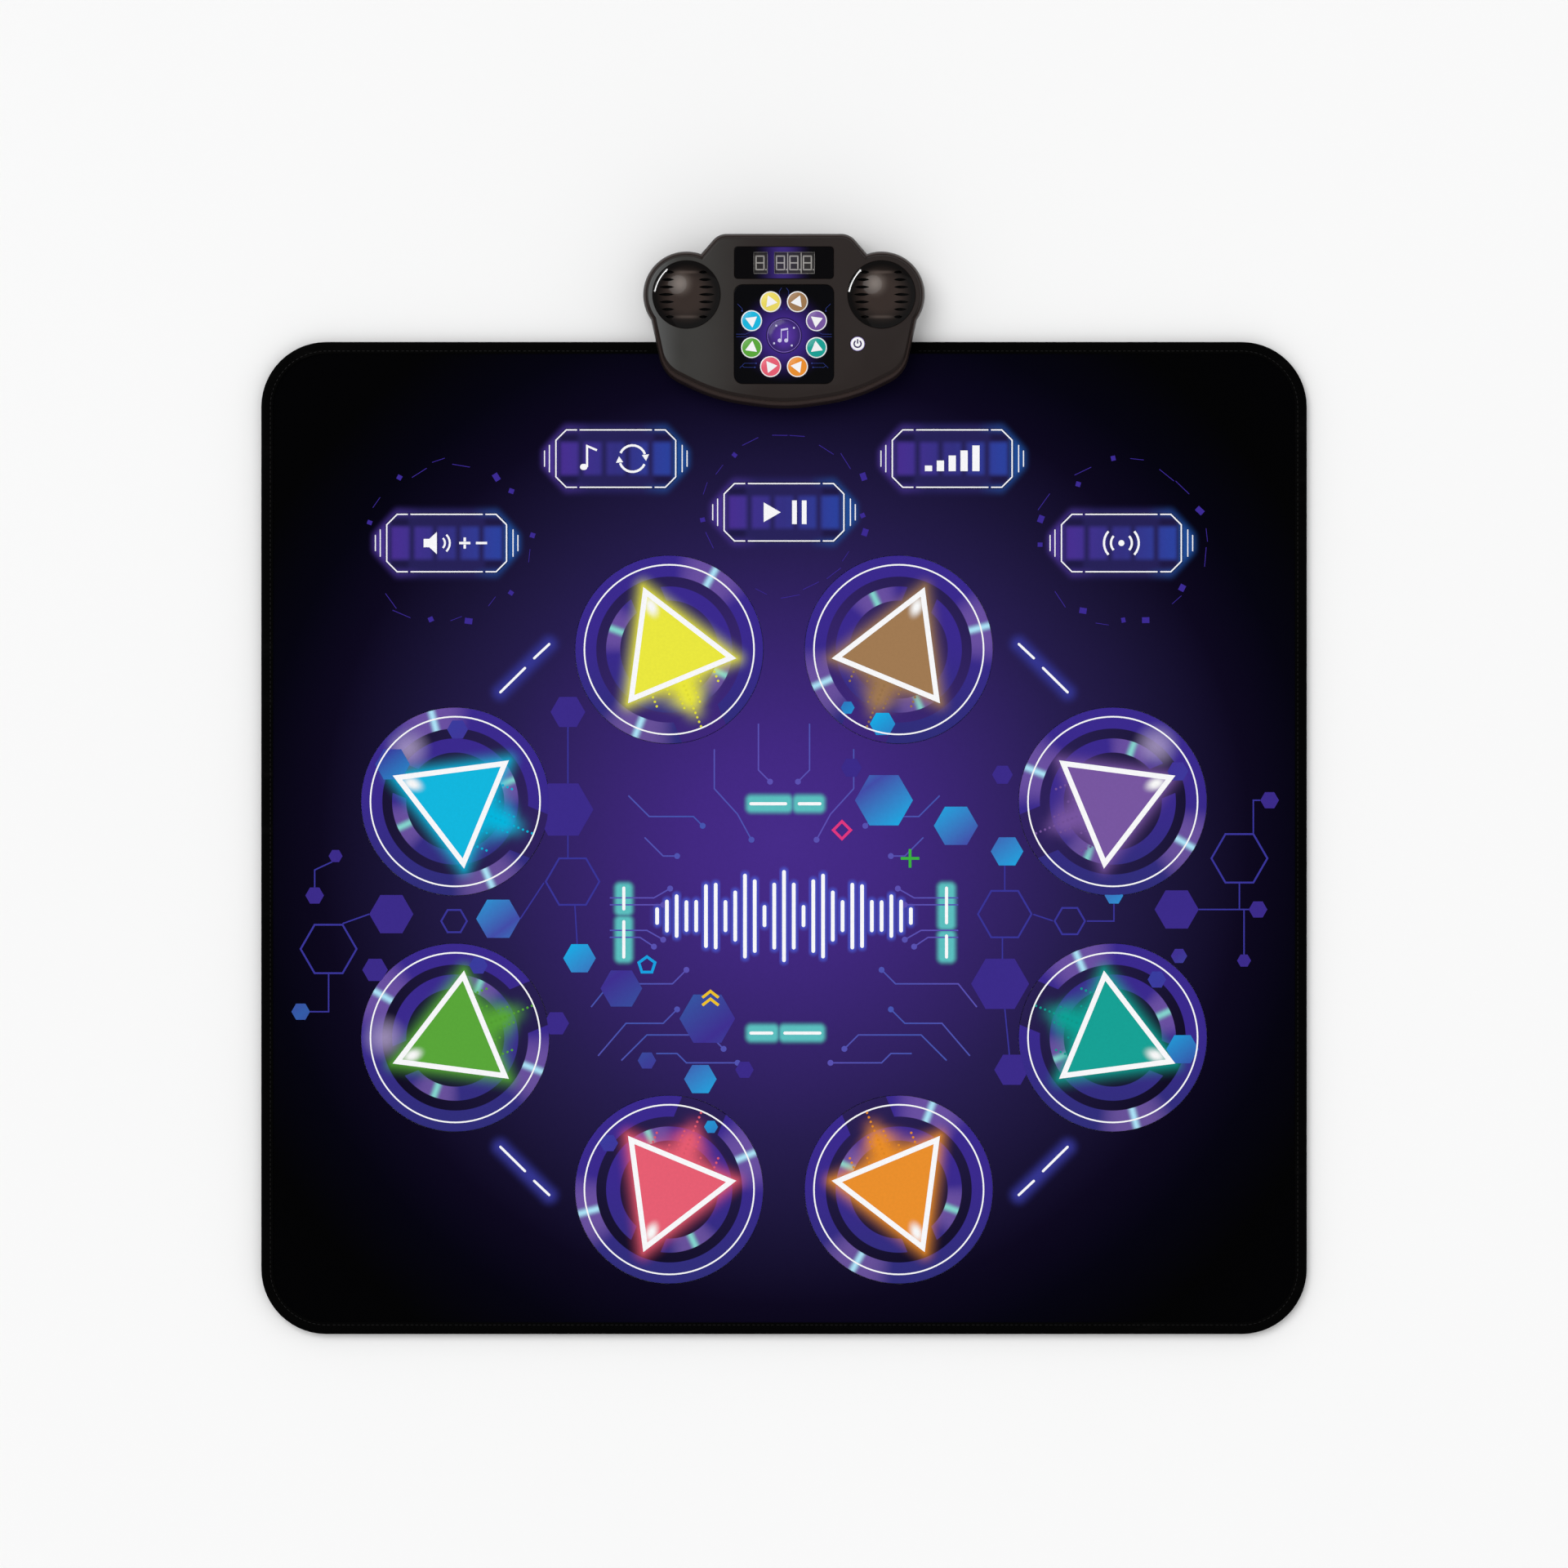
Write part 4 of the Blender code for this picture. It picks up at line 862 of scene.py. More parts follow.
@node_group("arrow_pad_print", ARROW_PRINT_INPUTS, {"Colour": "Color"})
def arrow_pad_print(graph, position, upright, field, arrow, flare, strength):
    """An arrow pad's print, with its spray towards +X: bands, glints, glow, spray and halo."""
    pads = chosen("_pads")
    place = position * FLAT
    x, y, _ = place.split()
    away, aside = place.do("LENGTH"), abs(y)
    edge = 0.0003

    def past(value, limit):
        return value.fade(limit - edge, limit + edge)

    def short_of(value, limit):
        return value.fade(limit + edge, limit - edge)

    outer_gap, inner_gap = 0.0204, 0.0137
    outer = past(away, pads.outer_band) * (1.0 - short_of(aside, outer_gap) * (x > 0.0))
    inner = past(away, pads.inner_band_low) * short_of(away, pads.inner_band_high)
    inner = inner * (1.0 - short_of(aside, inner_gap) * (x < 0.0))

    band = upright.split()[1].fade(-0.085, 0.02).mix(display(48, 46, 122), pads.band_colour)
    outer_glints = (outer, (127.5, -44.0), display(172, 226, 247))
    inner_glints = (inner, (43.0, 227.5), display(132, 212, 206))
    colour = field
    for mask, angles, shine in (outer_glints, inner_glints):
        tone = band
        for angle in angles:
            east, north = on_circle((0.0, 0.0), 1.0, angle)
            ahead = place.do("DOT_PRODUCT", (east, north, 0.0))
            sheen = (ahead / away.do("MAXIMUM", 0.001)).fade(math.cos(math.radians(27)), 1.0)
            tone = (sheen * 0.5).mix(tone, display(136, 104, 178))
            off = abs(place.do("DOT_PRODUCT", (-north, east, 0.0)))
            tone = (off.glow(0.0064, 0.0) * (ahead > 0.0)).mix(tone, shine)
        colour = mask.mix(colour, tone)

    flare = place.do("DISTANCE", flare).fade(0.0235, 0.0) * strength
    colour = flare.mix(colour, display(176, 160, 206))

    # Distance to the arrow's triangle, folded so that one side stands for all three
    root = math.sqrt(3)
    half = pads.arrow_reach * root / 2
    u, v = aside - half, half / root - x
    beyond = u + v * root > 0.0
    turned_u, turned_v = (u - v * root) * 0.5, (v + u * root) * -0.5
    u, v = beyond * (turned_u - u) + u, beyond * (turned_v - v) + v
    along = u.do("MAXIMUM", -2 * half).do("MINIMUM", 0.0)
    halo = graph.join(u - along, v).do("LENGTH").span(0.0, 0.0165, 1.0, 0.0) ** 1.7 * 0.87

    # The spray ahead of the arrow's flat side: strongest on its middle line, and narrower further out
    spread = (aside / x.span(0.044, 0.058, 0.0190, 0.0104)) ** 2.0
    spray = (spread * -1.0).do("EXPONENT") * x.fade(0.076, 0.045) * (x > pads.arrow_reach / 2)
    glow = (1.0 - (1.0 - halo) * (1.0 - spray)) ** GLOW_POWER
    return [glow.mix(colour, arrow)]


# The way from a pad's middle to its pale flare, as seen from above
FLARES = {"blue": 132.0, "purple": 52.0, "green": 180.0}


def arrow_pad_material(name):
    """One pad's whole print, with its flare turned back from the pad's own heading."""
    finish = Finish(name + "_pad_print", 0.5, 0.02)
    centre, heading = PAD_CENTRES[name], SPRAY[name]
    field = printed_field(finish, finish.place)
    arrow = getattr(chosen("_pads"), name)
    flare = (*on_circle((0.0, 0.0), 0.061, FLARES.get(name, 0.0) - heading), 0.0)
    strength = 0.7 if name in FLARES else 0.0
    places = (finish.placed(centre, heading), finish.placed(centre))
    return finish.vinyl(arrow_pad_print(finish, *places, field, arrow, flare, strength))


def arrow_fill_material(name):
    """The arrow's colour, with a soft white light inside its tip."""
    finish = Finish(name + "_arrow_fill", 0.45, 0.08)
    place = finish.placed(PAD_CENTRES[name], SPRAY[name]) * FLAT
    light = (place - (-0.0400, 0.0, 0.0)) * (0.75, 1.25, 1.0)
    light = light.do("LENGTH").fade(0.0105, 0.0010) ** 1.3
    colour = getattr(chosen("_pads"), name)
    return finish.vinyl(light.mix(colour, display(250, 250, 250)), 0.45)


def control_pad_material(name):
    """A control pad's print: a glow inside its frame, and five soft upright bars."""
    finish = Finish(name + "_pad_print", 0.5, 0.02)
    pads = chosen("_pads")
    flat = finish.placed(CONTROL_CENTRES[name]) * FLAT
    x, y, _ = flat.split()
    field = printed_field(finish, finish.place)
    light = frame_glow(finish, flat, 1.0)[1]
    away = box_distance(flat, (0.0, 0.0), (pads.frame_width / 2, pads.frame_depth / 2), CONTROL_CORNER)
    colour = (away.fade(-0.0075, 0.0) ** 1.3).mix(finish.mix(0.85, field, pads.frame_middle), light)
    patch = box_distance(finish.join(abs(x), abs(y)), (0.0405, 0.0180), (0.0070, 0.0026), 0.0025)
    colour = (patch.fade(0.0042, -0.0028) * 0.68).mix(colour, display(24, 18, 56))
    bar_pitch = 0.0199
    bars = abs(x).do("PINGPONG", bar_pitch / 2).fade(0.0106, 0.0048) * abs(y).fade(0.0168, 0.0112)
    bars = bars * abs(x).fade(0.0490, 0.0470) * abs(x).span(0.0, 0.040, 0.55, 0.95)
    bar_colour = x.span(-0.045, 0.045, 0.0, 1.0).mix(display(72, 47, 146), display(44, 66, 160))
    return finish.vinyl(bars.mix(colour, bar_colour))


def rubber_cloth():
    finish = Finish("anti_slip_cloth", 0.9, 0.1)
    height, shade = plain_weave(finish, finish.place, 0.0016)
    finish.colour(display(33, 33, 35), shade)
    return finish.bump(height, 0.7, 0.0002)


def tape_material():
    """Twill tape: fine slanting ribs and a little rubbed shade."""
    finish = Finish("binding_tape", 0.85, 0.02)
    x, y, z = finish.place.split()
    ribs = ((x + y + z) * (2 * math.pi / 0.0012)).do("SINE")
    height = ribs * 0.5 + finish.noise(finish.place, 600.0, 3.0)
    wear = rubbed_streaks(finish, finish.place, 0.6)
    colour = wear.mix(chosen().binding_colour, display(16, 15, 15))
    # The colour follows the height: darker in the valleys between the ribs, which is painted shade, and
    # drifting a little with the noise
    finish.colour(colour, height.span(0.0, 1.0, 0.9, 1.1))
    return finish.bump(height, 0.5, 0.00012)


def circuit_film():
    finish = Finish("circuit_film", 0.3, 0.5)
    x = (finish.place * (180.0, 180.0, 0.0)).split()[0]
    tracks = x.do("SINE").fade(0.86, 0.92) * finish.noise(finish.place, 9.0).fade(0.5, 0.52)
    finish.colour(tracks.mix(display(196, 199, 204), display(120, 122, 126)))
    finish.rough(tracks.span(0.0, 1.0, 0.25, 0.5))
    return finish.material


def circuit_ink():
    finish = Finish("circuit_print", 0.5, 0.08)
    x, y, _ = finish.place.split()
    share = ((x + y) * 9.0).do("PINGPONG", 1.0)
    return finish.vinyl(share.mix(chosen().line_colour, display(66, 84, 176)))


def shell_material():
    """Dark moulded plastic, with painted light: paler at its left edge and lighter towards the console's
    left, as if lit from there, and a browner rim between darker bands of painted shade.
    """
    finish = Finish("console_plastic", 0.42, 0.12)
    console = chosen("_console")
    x, _, z = finish.place.split()
    # Painted light: paler at the left edge and lighter over the left, as if a lamp lit the shell from there
    colour = x.fade(-0.120, -0.086).mix(console.painted_edge_highlight, console.painted_light_left)
    colour = x.fade(-0.085, -0.015).mix(colour, console.plastic_right)
    # Painted shade: the band that rises to the face and the skirt below the rim are darkened, with the rim
    # colour between them
    line = [0.45 * c for c in console.rim_colour]
    for level, tone in ((0.03992, line), (0.0377, console.rim_colour), (0.0350, line)):
        colour = z.fade(level, level - 0.0002).mix(colour, tone)
    return finish.moulded(colour, 0.42, 2400.0, 0.00003)


def window_material():
    """A smoked window with a glow in its middle, clear over the two displays."""
    finish = Finish("smoked_window", 0.07, 0.10)
    x = finish.place.split()[0]
    glow = abs(x + 0.001).glow(0.029, 0.0)
    finish.colour(glow.mix(display(2, 1, 3), chosen("_console").glow_colour))
    finish.haze(0.05, 0.12)
    clear = None
    for node in DISPLAYS:
        low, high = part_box(node)
        away = box_distance(finish.place * FLAT, (low + high) / 2, (high - low) / 2, 0.0004)
        seen = away.fade(0.0002, -0.0001)
        clear = clear.do("MAXIMUM", seen) if clear else seen
    finish.feed(finish.shader["Alpha"], clear.span(0.0, 1.0, 1.0, 0.06))
    return finish.material


def panel_material():
    finish = Finish("panel_gloss", 0.12, 0.10)
    away = (finish.place * FLAT).do("DISTANCE", (*LENS_MIDDLE, 0.0))
    glow = away.fade(0.043, 0.008) ** 1.4
    finish.colour(glow.mix(display(1, 1, 4), chosen("_console").panel_colour))
    finish.haze(0.08, 0.16)
    return finish.material


def centre_lens_material():
    finish = Finish("centre_lens", 0.15, 0.35)
    away = (finish.placed(LENS_MIDDLE) * FLAT).do("LENGTH")
    stops = [(0.0, display(92, 52, 168)), (0.55, display(70, 36, 140)), (1.0, display(40, 20, 92))]
    drift = finish.haze(0.1, 0.2, 90.0)
    finish.colour((away / CENTRE_LENS_RADIUS).ramp(stops), drift.span(0.3, 0.7, 0.9, 1.1))
    return finish.material


def dome_material():
    """Glossy brown-black, with painted light: lighter down the middle, a painted highlight high on its left,
    and painted shade that turns it black at the rim.
    """
    finish = Finish("grille_plastic", 0.16, 0.16)
    x, y, _ = finish.place.split()
    middle_x, middle_y = middle("right_speaker_grille")
    across, up = x - x.do("SIGN") * middle_x, y - middle_y
    place = finish.join(across, up)
    dome = chosen("_console").dome_colour
    # Painted shade: black towards the rim, where a dome lit from above falls dark
    colour = place.do("LENGTH").fade(0.0280, 0.0120).mix(display(4, 2, 2), dome)
    # A painted highlight high on the dome's left, where the main light would shine on it
    glow = place.do("DISTANCE", (-0.0056, 0.0095, 0.0)).fade(0.0150, 0.0)
    colour = (glow ** 1.5).mix(colour, display(116, 106, 100))
    # Pale bars along the top and bottom rows of slots: painted highlights where ribs would catch the light
    ribs = abs(abs(up) - 3 * SLOT_PITCH).fade(0.0022, 0.0) * abs(across).fade(0.0140, 0.0030)
    finish.colour((ribs * 0.45).mix(colour, display(100, 88, 82)))
    finish.haze(0.05, 0.08)
    return finish.material


def cone_material():
    finish = Finish("cone_paper", 0.85, 0.2)
    fibre = finish.noise(finish.place, 700.0, 4.0)
    finish.colour(display(44, 44, 45), fibre.span(0.3, 0.7, 0.8, 1.2))
    return finish.bump(fibre, 0.5, 0.0001)


def board_material():
    finish = Finish("board_green", 0.4, 0.5)
    inputs = {"Vector": finish.place, "Scale": 260.0}
    share = finish.add("TexVoronoi", inputs, distance="MANHATTAN").fade(0.30, 0.36)
    finish.colour(share.mix(display(26, 96, 58), display(18, 76, 44)))
    finish.rough(share.span(0.0, 1.0, 0.3, 0.45))
    return finish.material


def cell_material():
    """A plain printed sleeve: dark, with a copper-coloured end."""
    finish = Finish("cell_case", 0.35, 0.5, 0.6)
    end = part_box("battery_cell_1")[1].y
    top = finish.place.split()[1].fade(end - 0.0125, end - 0.0120)
    finish.colour(top.mix(display(30, 30, 32), display(196, 140, 82)))
    finish.haze(0.3, 0.42, 80.0)
    return finish.material


def tail_material():
    finish = Finish("tail_film", 0.35, 0.5)
    x = finish.place.split()[0]
    tracks = (x * (2 * math.pi / 0.002)).do("SINE").fade(0.0, 0.3)
    finish.colour(tracks.mix(display(206, 150, 74), display(150, 92, 40)))
    finish.rough(tracks.span(0.0, 1.0, 0.3, 0.45))
    return finish.material


def sheet_outline(inset, steps=14):
    """The mat's outline, moved inwards all round."""
    return rectangle(MAT_LOW, MAT_HIGH, chosen().corner, inset, steps)


class PieceOperator:
    """What every operator here shares."""

    bl_options = {"REGISTER", "UNDO"}


class DANCE_MAT_OT_stage(PieceOperator, bpy.types.Operator):
    """Sets the pale floor, the soft light and the camera over the mat"""

    bl_idname = "dance_mat.stage"
    bl_label = "Stage"

    def execute(self, context):
        settings = context.scene.dance_mat_stage
        context.scene.view_settings.view_transform = "Standard"
        self.make_floor(settings.floor_colour)
        self.make_world(context.scene)
        self.make_lights(context.scene, settings)
        self.make_camera(context.scene, settings)
        return {"FINISHED"}

    def make_floor(self, colour):
        finish = Finish("floor", 0.9, 0.1)
        finish.colour(colour, finish.noise(finish.place, 1.5).span(0.3, 0.7, 0.995, 1.0))
        bm = bmesh.new()
        bmesh.ops.create_circle(bm, cap_ends=True, segments=96, radius=60.0)
        floor = new_object("floor", bm)
        floor.data.materials.append(finish.material)

    def make_world(self, scene):
        """Bright walls under a darker ceiling, seen as white where the camera looks past the floor."""
        scene.world = bpy.data.worlds.new("studio")
        scene.world.use_nodes = True
        graph = Graph(scene.world.node_tree)
        kinds = ("Camera", "Glossy", "Transmission")
        camera, glossy, through = (graph.add("LightPath", output=f"Is {kind} Ray") for kind in kinds)
        height = graph.add("TexCoord").split()[2]
        direct = camera.do("MAXIMUM", through)
        direct = direct.do("MAXIMUM", glossy * height.span(0.0, 1.0, 0.45, 0.12))
        other = 1.0 - direct.do("MAXIMUM", glossy)
        background = graph.tree.nodes["Background"].inputs
        graph.feed(background["Strength"], direct + other * height.span(0.0, 1.0, 1.0, 0.25))
        graph.feed(background["Color"], (1.0, 1.0, 1.0))

    def make_lights(self, scene, settings):
        """Two broad lights for shape, and a low strip that puts an edge of light on the domes."""
        key = ("key", 1.05, 222.0, 30.0, settings.key_spread)
        fill = ("fill", 0.72, 52.0, 35.0, settings.fill_spread)
        for name, strength, turn, lean, spread in (key, fill):
            lamp = self.add_lamp(scene, name, "SUN", strength)
            lamp.data.angle = spread
            lamp.rotation_euler = (math.radians(lean), 0.0, math.radians(turn))
        strip = self.add_lamp(scene, "strip", "AREA", 45.0)
        strip.data.shape = "RECTANGLE"
        strip.data.size = 1.9
        strip.data.size_y = 0.09
        strip.location = (-1.95, 1.50, 0.78)
        towards = Vector((0.0, 0.42, 0.05)) - strip.location
        strip.rotation_euler = towards.to_track_quat("-Z", "Y").to_euler()
        strip.visible_camera = False
        strip.visible_diffuse = False

    def add_lamp(self, scene, name, kind, strength):
        light = bpy.data.lights.new(name, kind)
        light.energy = strength
        lamp = bpy.data.objects.new(name, light)
        scene.collection.objects.link(lamp)
        return lamp

    def make_camera(self, scene, settings):
        camera = bpy.data.objects.new("camera", bpy.data.cameras.new("camera"))
        camera.data.lens = camera.data.sensor_width * settings.camera_height / settings.field
        camera.data.clip_end = 200.0
        camera.location = (0.0, 0.0, settings.camera_height)
        scene.collection.objects.link(camera)
        scene.camera = camera


DOT_RISE = 0.0003
DOT_MARGIN = 0.0045


class DANCE_MAT_OT_layers(PieceOperator, bpy.types.Operator):
    """Makes the anti-slip underside with its dots, the foam and the circuit films"""

    bl_idname = "dance_mat.layers"
    bl_label = "Base, Foam and Films"

    def execute(self, context):
        inset = BASE_LOW.x - MAT_LOW.x
        outline = sheet_outline(inset)
        bm = bmesh.new()
        add_plate(bm, outline, BASE_LOW.z + DOT_RISE, BASE_HIGH.z)
        base = make_piece("anti_slip_sheet", bm, rubber_cloth(), "anti_slip_base")
        size = BASE_HIGH - BASE_LOW
        outline_area(outline)
        self.make_dots(size, context.scene.dance_mat.corner - inset, context.scene.dance_mat.dot_pitch)

        grey = foam("grey_foam", display(138, 138, 141))
        for node in ("foam_core", "spacer_foam"):
            refined(node, grey)
        film = circuit_film()
        for node in ("lower_circuit_film", "upper_circuit_film"):
            dress(node, film)
        return {"FINISHED"}

    def make_dots(self, size, corner, pitch):
        """Rubber dots in staggered rows, none of them past the sheet's outline."""
        row_pitch = pitch * math.sqrt(3) / 2
        columns, rows = int(size.x / pitch), int(size.y / row_pitch)
        centre = (BASE_LOW + BASE_HIGH) / 2
        places = []
        for row in range(rows):
            for column in range(columns):
                x = (column - columns / 2 + 0.25 + row % 2 / 2) * pitch
                y = (row - (rows - 1) / 2) * row_pitch
                past_x = max(abs(x) - size.x / 2 + corner, 0.0)
                past_y = max(abs(y) - size.y / 2 + corner, 0.0)
                if math.hypot(past_x, past_y) < corner - DOT_MARGIN:
                    places.append(Matrix.Translation((centre.x + x, centre.y + y, 0.0)))
        bm = bmesh.new()
        add_turned(bm, ((0.0, 0.0), (0.0016, 0.0), (0.0022, DOT_RISE), (0.0, DOT_RISE)), steps=6)
        repeat(bm, places)
        material = plastic("anti_slip_dots", display(26, 26, 27), 0.75, 0.3)
        make_piece("anti_slip_dots", bm, material)


class DANCE_MAT_OT_cover(PieceOperator, bpy.types.Operator):
    """Makes the printed cover, with an opening round each pad"""

    bl_idname = "dance_mat.cover"
    bl_label = "Printed Cover"

    def execute(self, context):
        outline = sheet_outline(COVER_LOW.x - MAT_LOW.x)
        bm = bmesh.new()
        add_plate(bm, outline, COVER_LOW.z, COVER_HIGH.z)
        cover = make_piece("printed_sheet", bm, cover_material(), "top_cover")
        holes = [polygon(centre, PAD_EDGE + PAD_SIDE_GAP, PAD_SIDES) for centre in PAD_CENTRES.values()]
        holes += [control_outline(centre, PAD_SIDE_GAP) for centre in CONTROL_CENTRES.values()]
        margin = 0.001
        levels = (COVER_LOW.z - margin, COVER_HIGH.z + margin)
        area = outline_area(outline)
        bm = bmesh.new()
        for hole in holes:
            add_plate(bm, hole, *levels)
            area -= outline_area(hole)
        tail_low, tail_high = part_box("film_tail")
        add_box(bm, (tail_low.x - margin, tail_high.x + margin), (0.3326, 0.3354), levels)
        combine(cover, bm)
        round_edges(cover, 0.0003)
        return {"FINISHED"}


class DANCE_MAT_OT_binding(PieceOperator, bpy.types.Operator):
    """Makes the tape round the mat's edge and the row of stitches that holds it"""

    bl_idname = "dance_mat.binding"
    bl_label = "Edge Binding"

    def execute(self, context):
        settings = context.scene.dance_mat
        wall = 0.0006
        high = MAT_HIGH.z
        width = settings.binding_width
        outside = [(width, high - wall), (width, high - 0.0001), (width - 0.0003, high), (0.0030, high)]
        outside += [(0.0013, high - 0.0004), (0.0003, high - 0.0016), (0.0, high - 0.0034), (0.0, 0.0030)]
        outside += [(0.0004, 0.0014), (0.0013, 0.0003), (0.0026, 0.0), (width, 0.0)]
        inside = [(width, wall), (0.0028, wall), (0.0016, 0.0012), (0.0008, 0.0026), (wall, 0.0040)]
        inside += [(wall, high - 0.0040), (0.0009, high - 0.0022), (0.0022, high - wall)]
        layers = [(with_steps(sheet_outline(inset), 0.008), level) for inset, level in outside + inside]
        bm = bmesh.new()
        add_layers(bm, layers, ring=True)
        self.ripple(bm, high)
        tape = make_piece("edge_tape", bm, tape_material(), "edge_binding", crease=60)
        length, around = way_round(layers[0][0])[-1], way_round(outside)[-2]
        self.make_stitches(settings, high)
        return {"FINISHED"}

    def ripple(self, bm, high):
        """Makes the tape's top a little uneven, as sewing leaves it."""
        draw = random.Random(4)
        waves = [(rate, draw.uniform(0, 2 * math.pi)) for rate in (90, 161, 233, 377)]
        for vert in bm.verts:
            if vert.co.z > high / 2:
                along = vert.co.x + vert.co.y * 1.3
                height = sum(math.sin(along * rate + phase) for rate, phase in waves)
                vert.co.z += 0.000035 * height * min((vert.co.z / high) ** 2, 1.0)

    def make_stitches(self, settings, high):
        """One short raised thread after another, a little inside the tape's edge."""
        path = with_steps(sheet_outline(settings.binding_width - 0.0022, 24), 0.001)
        ways = way_round(path)
        count = round(ways[-1] / settings.stitch_pitch)
        console_low, console_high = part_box("console_top_shell")
        under_console = 0.006
        size = Matrix.Diagonal((settings.stitch_pitch * 0.40, 0.00030, 0.00022, 1.0))
        places = []
        k = 0
        for i in range(count):
            while ways[k + 1] < ways[-1] * i / count:
                k += 1
            here = Vector(path[k])
            ahead = Vector(path[(k + 1) % len(path)]) - here
            if here.y > 0 and console_low.x + under_console < here.x < console_high.x - under_console:
                continue
            turn = Matrix.Rotation(math.atan2(ahead.y, ahead.x), 4, "Z")
            places.append(Matrix.Translation((*here, high - 0.00002)) @ turn @ size)
        bm = bmesh.new()
        bmesh.ops.create_uvsphere(bm, u_segments=6, v_segments=4, radius=1.0)
        repeat(bm, places)
        material = plastic("sewing_thread", settings.thread_colour, 0.7, 0.2, 3000.0)
        make_piece("edge_stitches", bm, material, crease=80)


def pad_level(away):
    """The level of a pad's skin at a distance from its middle."""
    share = min(max((away - PAD_FLAT) / (PAD_EDGE - PAD_FLAT), 0.0), 1.0)
    return PAD_TOP - (PAD_TOP - PAD_RIM_LEVEL) * share ** 2


def lay_on_pad(bm, centre):
    """Moves flat print, made from level 0 up, onto a pad's skin."""
    for vert in bm.verts:
        vert.co.z += pad_level((vert.co.xy - centre).length)


# Hexagons on the arrow pads, each as its pad, its look, its place from the pad's middle and its radius
PAD_HEXAGONS = (
    ("blue", "bright", -54, 32, 15), ("blue", "plain", 2, 62, 9), ("brown", "bright", -14, -64, 11),
    ("brown", "bright", -44, -50, 6), ("purple", "plain", 56, 26, 9), ("teal", "bright", 60, -10, 14),
    ("teal", "plain", 38, 50, 8), ("green", "plain", 20, 62, 8), ("pink", "bright", 36, 54, 6),
    ("pink", "plain", -52, 40, 8),
)
# Rows of dots ahead of an arrow, each as its distance from the pad's middle line and its reach
DOT_ROWS = ((0.0, 0.0715), (0.0072, 0.0515), (0.0146, 0.0354), (0.0286, 0.0410))


class DANCE_MAT_OT_arrow_pads(PieceOperator, bpy.types.Operator):
    """Makes the eight round pads, each with its white circle, arrow and spray of dots"""

    bl_idname = "dance_mat.arrow_pads"
    bl_label = "Arrow Pads"

    def execute(self, context):
        steps = 12
        reach = PAD_EDGE - 0.0009 - PAD_FLAT
        skin = [(0.0, PAD_TOP), (PAD_FLAT * 0.5, PAD_TOP)]
        for k in range(steps + 1):
            radius = PAD_FLAT + reach * k / steps
            skin.append((radius, pad_level(radius)))
        skin += [(PAD_EDGE - 0.0003, PAD_RIM_LEVEL - 0.0002), (PAD_EDGE, PAD_RIM_LEVEL - 0.0007)]
        for name, centre in PAD_CENTRES.items():
            body = name + "_arrow_pad"
            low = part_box(body)[0].z
            bm = bmesh.new()
            add_turned(bm, skin + [(PAD_EDGE, low), (0.0, low)], centre, PAD_SIDES)
            material = arrow_pad_material(name)
            pad = make_piece(name + "_pad_skin", bm, material, body, body)
            self.make_hexagons(name, centre, context.scene.dance_mat)
            self.make_marks(name, centre, context.scene.dance_mat_pads)
        return {"FINISHED"}

    def print_piece(self, pad, name, bm, material):
        make_piece(name, bm, material, body=pad + "_arrow_pad")

    def make_hexagons(self, name, centre, settings):
        for kind, colour in (("bright", settings.cyan_colour), ("plain", display(66, 48, 150))):
            bm = bmesh.new()
            for pad, look, x, y, radius in PAD_HEXAGONS:
                if (pad, look) == (name, kind):
                    self.add_hexagon(bm, centre + Vector((x, y)) / 1000, radius / 1000)
            if bm.verts:
                lay_on_pad(bm, centre)
                material = graded_ink(kind + "_pad_hexagons", colour, display(54, 60, 160))
                self.print_piece(name, f"{name}_{kind}_hexagons", bm, material)

    def add_hexagon(self, bm, centre, radius):
        """A thin plate of rings, fine enough to follow the pad's curve."""
        layers = []
        for share, level in [(1.0, 0.0)] + [(1 - k / 5, PRINT_DEPTH / 2) for k in range(5)]:
            outline = polygon(centre, radius * share, 6)
            layers.append((with_steps(outline, radius * share / 4), level))
        add_layers(bm, layers)

    def make_marks(self, name, centre, pads):
        heading = SPRAY[name]
        low, high = PAD_TOP - PRINT_DEPTH, PAD_TOP + 0.0003
        bm = bmesh.new()
        circle = polygon(centre, pads.circle_radius + pads.circle_width / 2, PAD_SIDES)
        add_frame(bm, circle, pads.circle_width, 0.0, PRINT_DEPTH)
        lay_on_pad(bm, centre)
        arrow = polygon(centre, pads.arrow_reach, 3, heading + 180.0)
        add_frame(bm, arrow, pads.arrow_border, low, high + PRINT_DEPTH)
        self.print_piece(name, name + "_pad_lines", bm, white_ink())

        bm = bmesh.new()
        reach = pads.arrow_reach - 2 * pads.arrow_border + 0.0002
        add_plate(bm, polygon(centre, reach, 3, heading + 180.0), low, high)
        self.print_piece(name, name + "_arrow_fill", bm, arrow_fill_material(name))

        bm = bmesh.new()
        turn = Matrix.Rotation(math.radians(heading), 2)
        pitch, radius = 0.0042, 0.0011
        for aside, reach in DOT_ROWS:
            for side in (-1, 1) if aside else (1,):
                along = reach
                while along > pads.arrow_reach / 2 + 0.0020:
                    place = centre + turn @ Vector((along, side * aside))
                    add_plate(bm, polygon(place, radius, 8), 0.0, PRINT_DEPTH)
                    along -= pitch
        lay_on_pad(bm, centre)
        dots = ink(name + "_dots", [0.9 * c for c in getattr(pads, name)])
        self.print_piece(name, name + "_pad_dots", bm, dots)


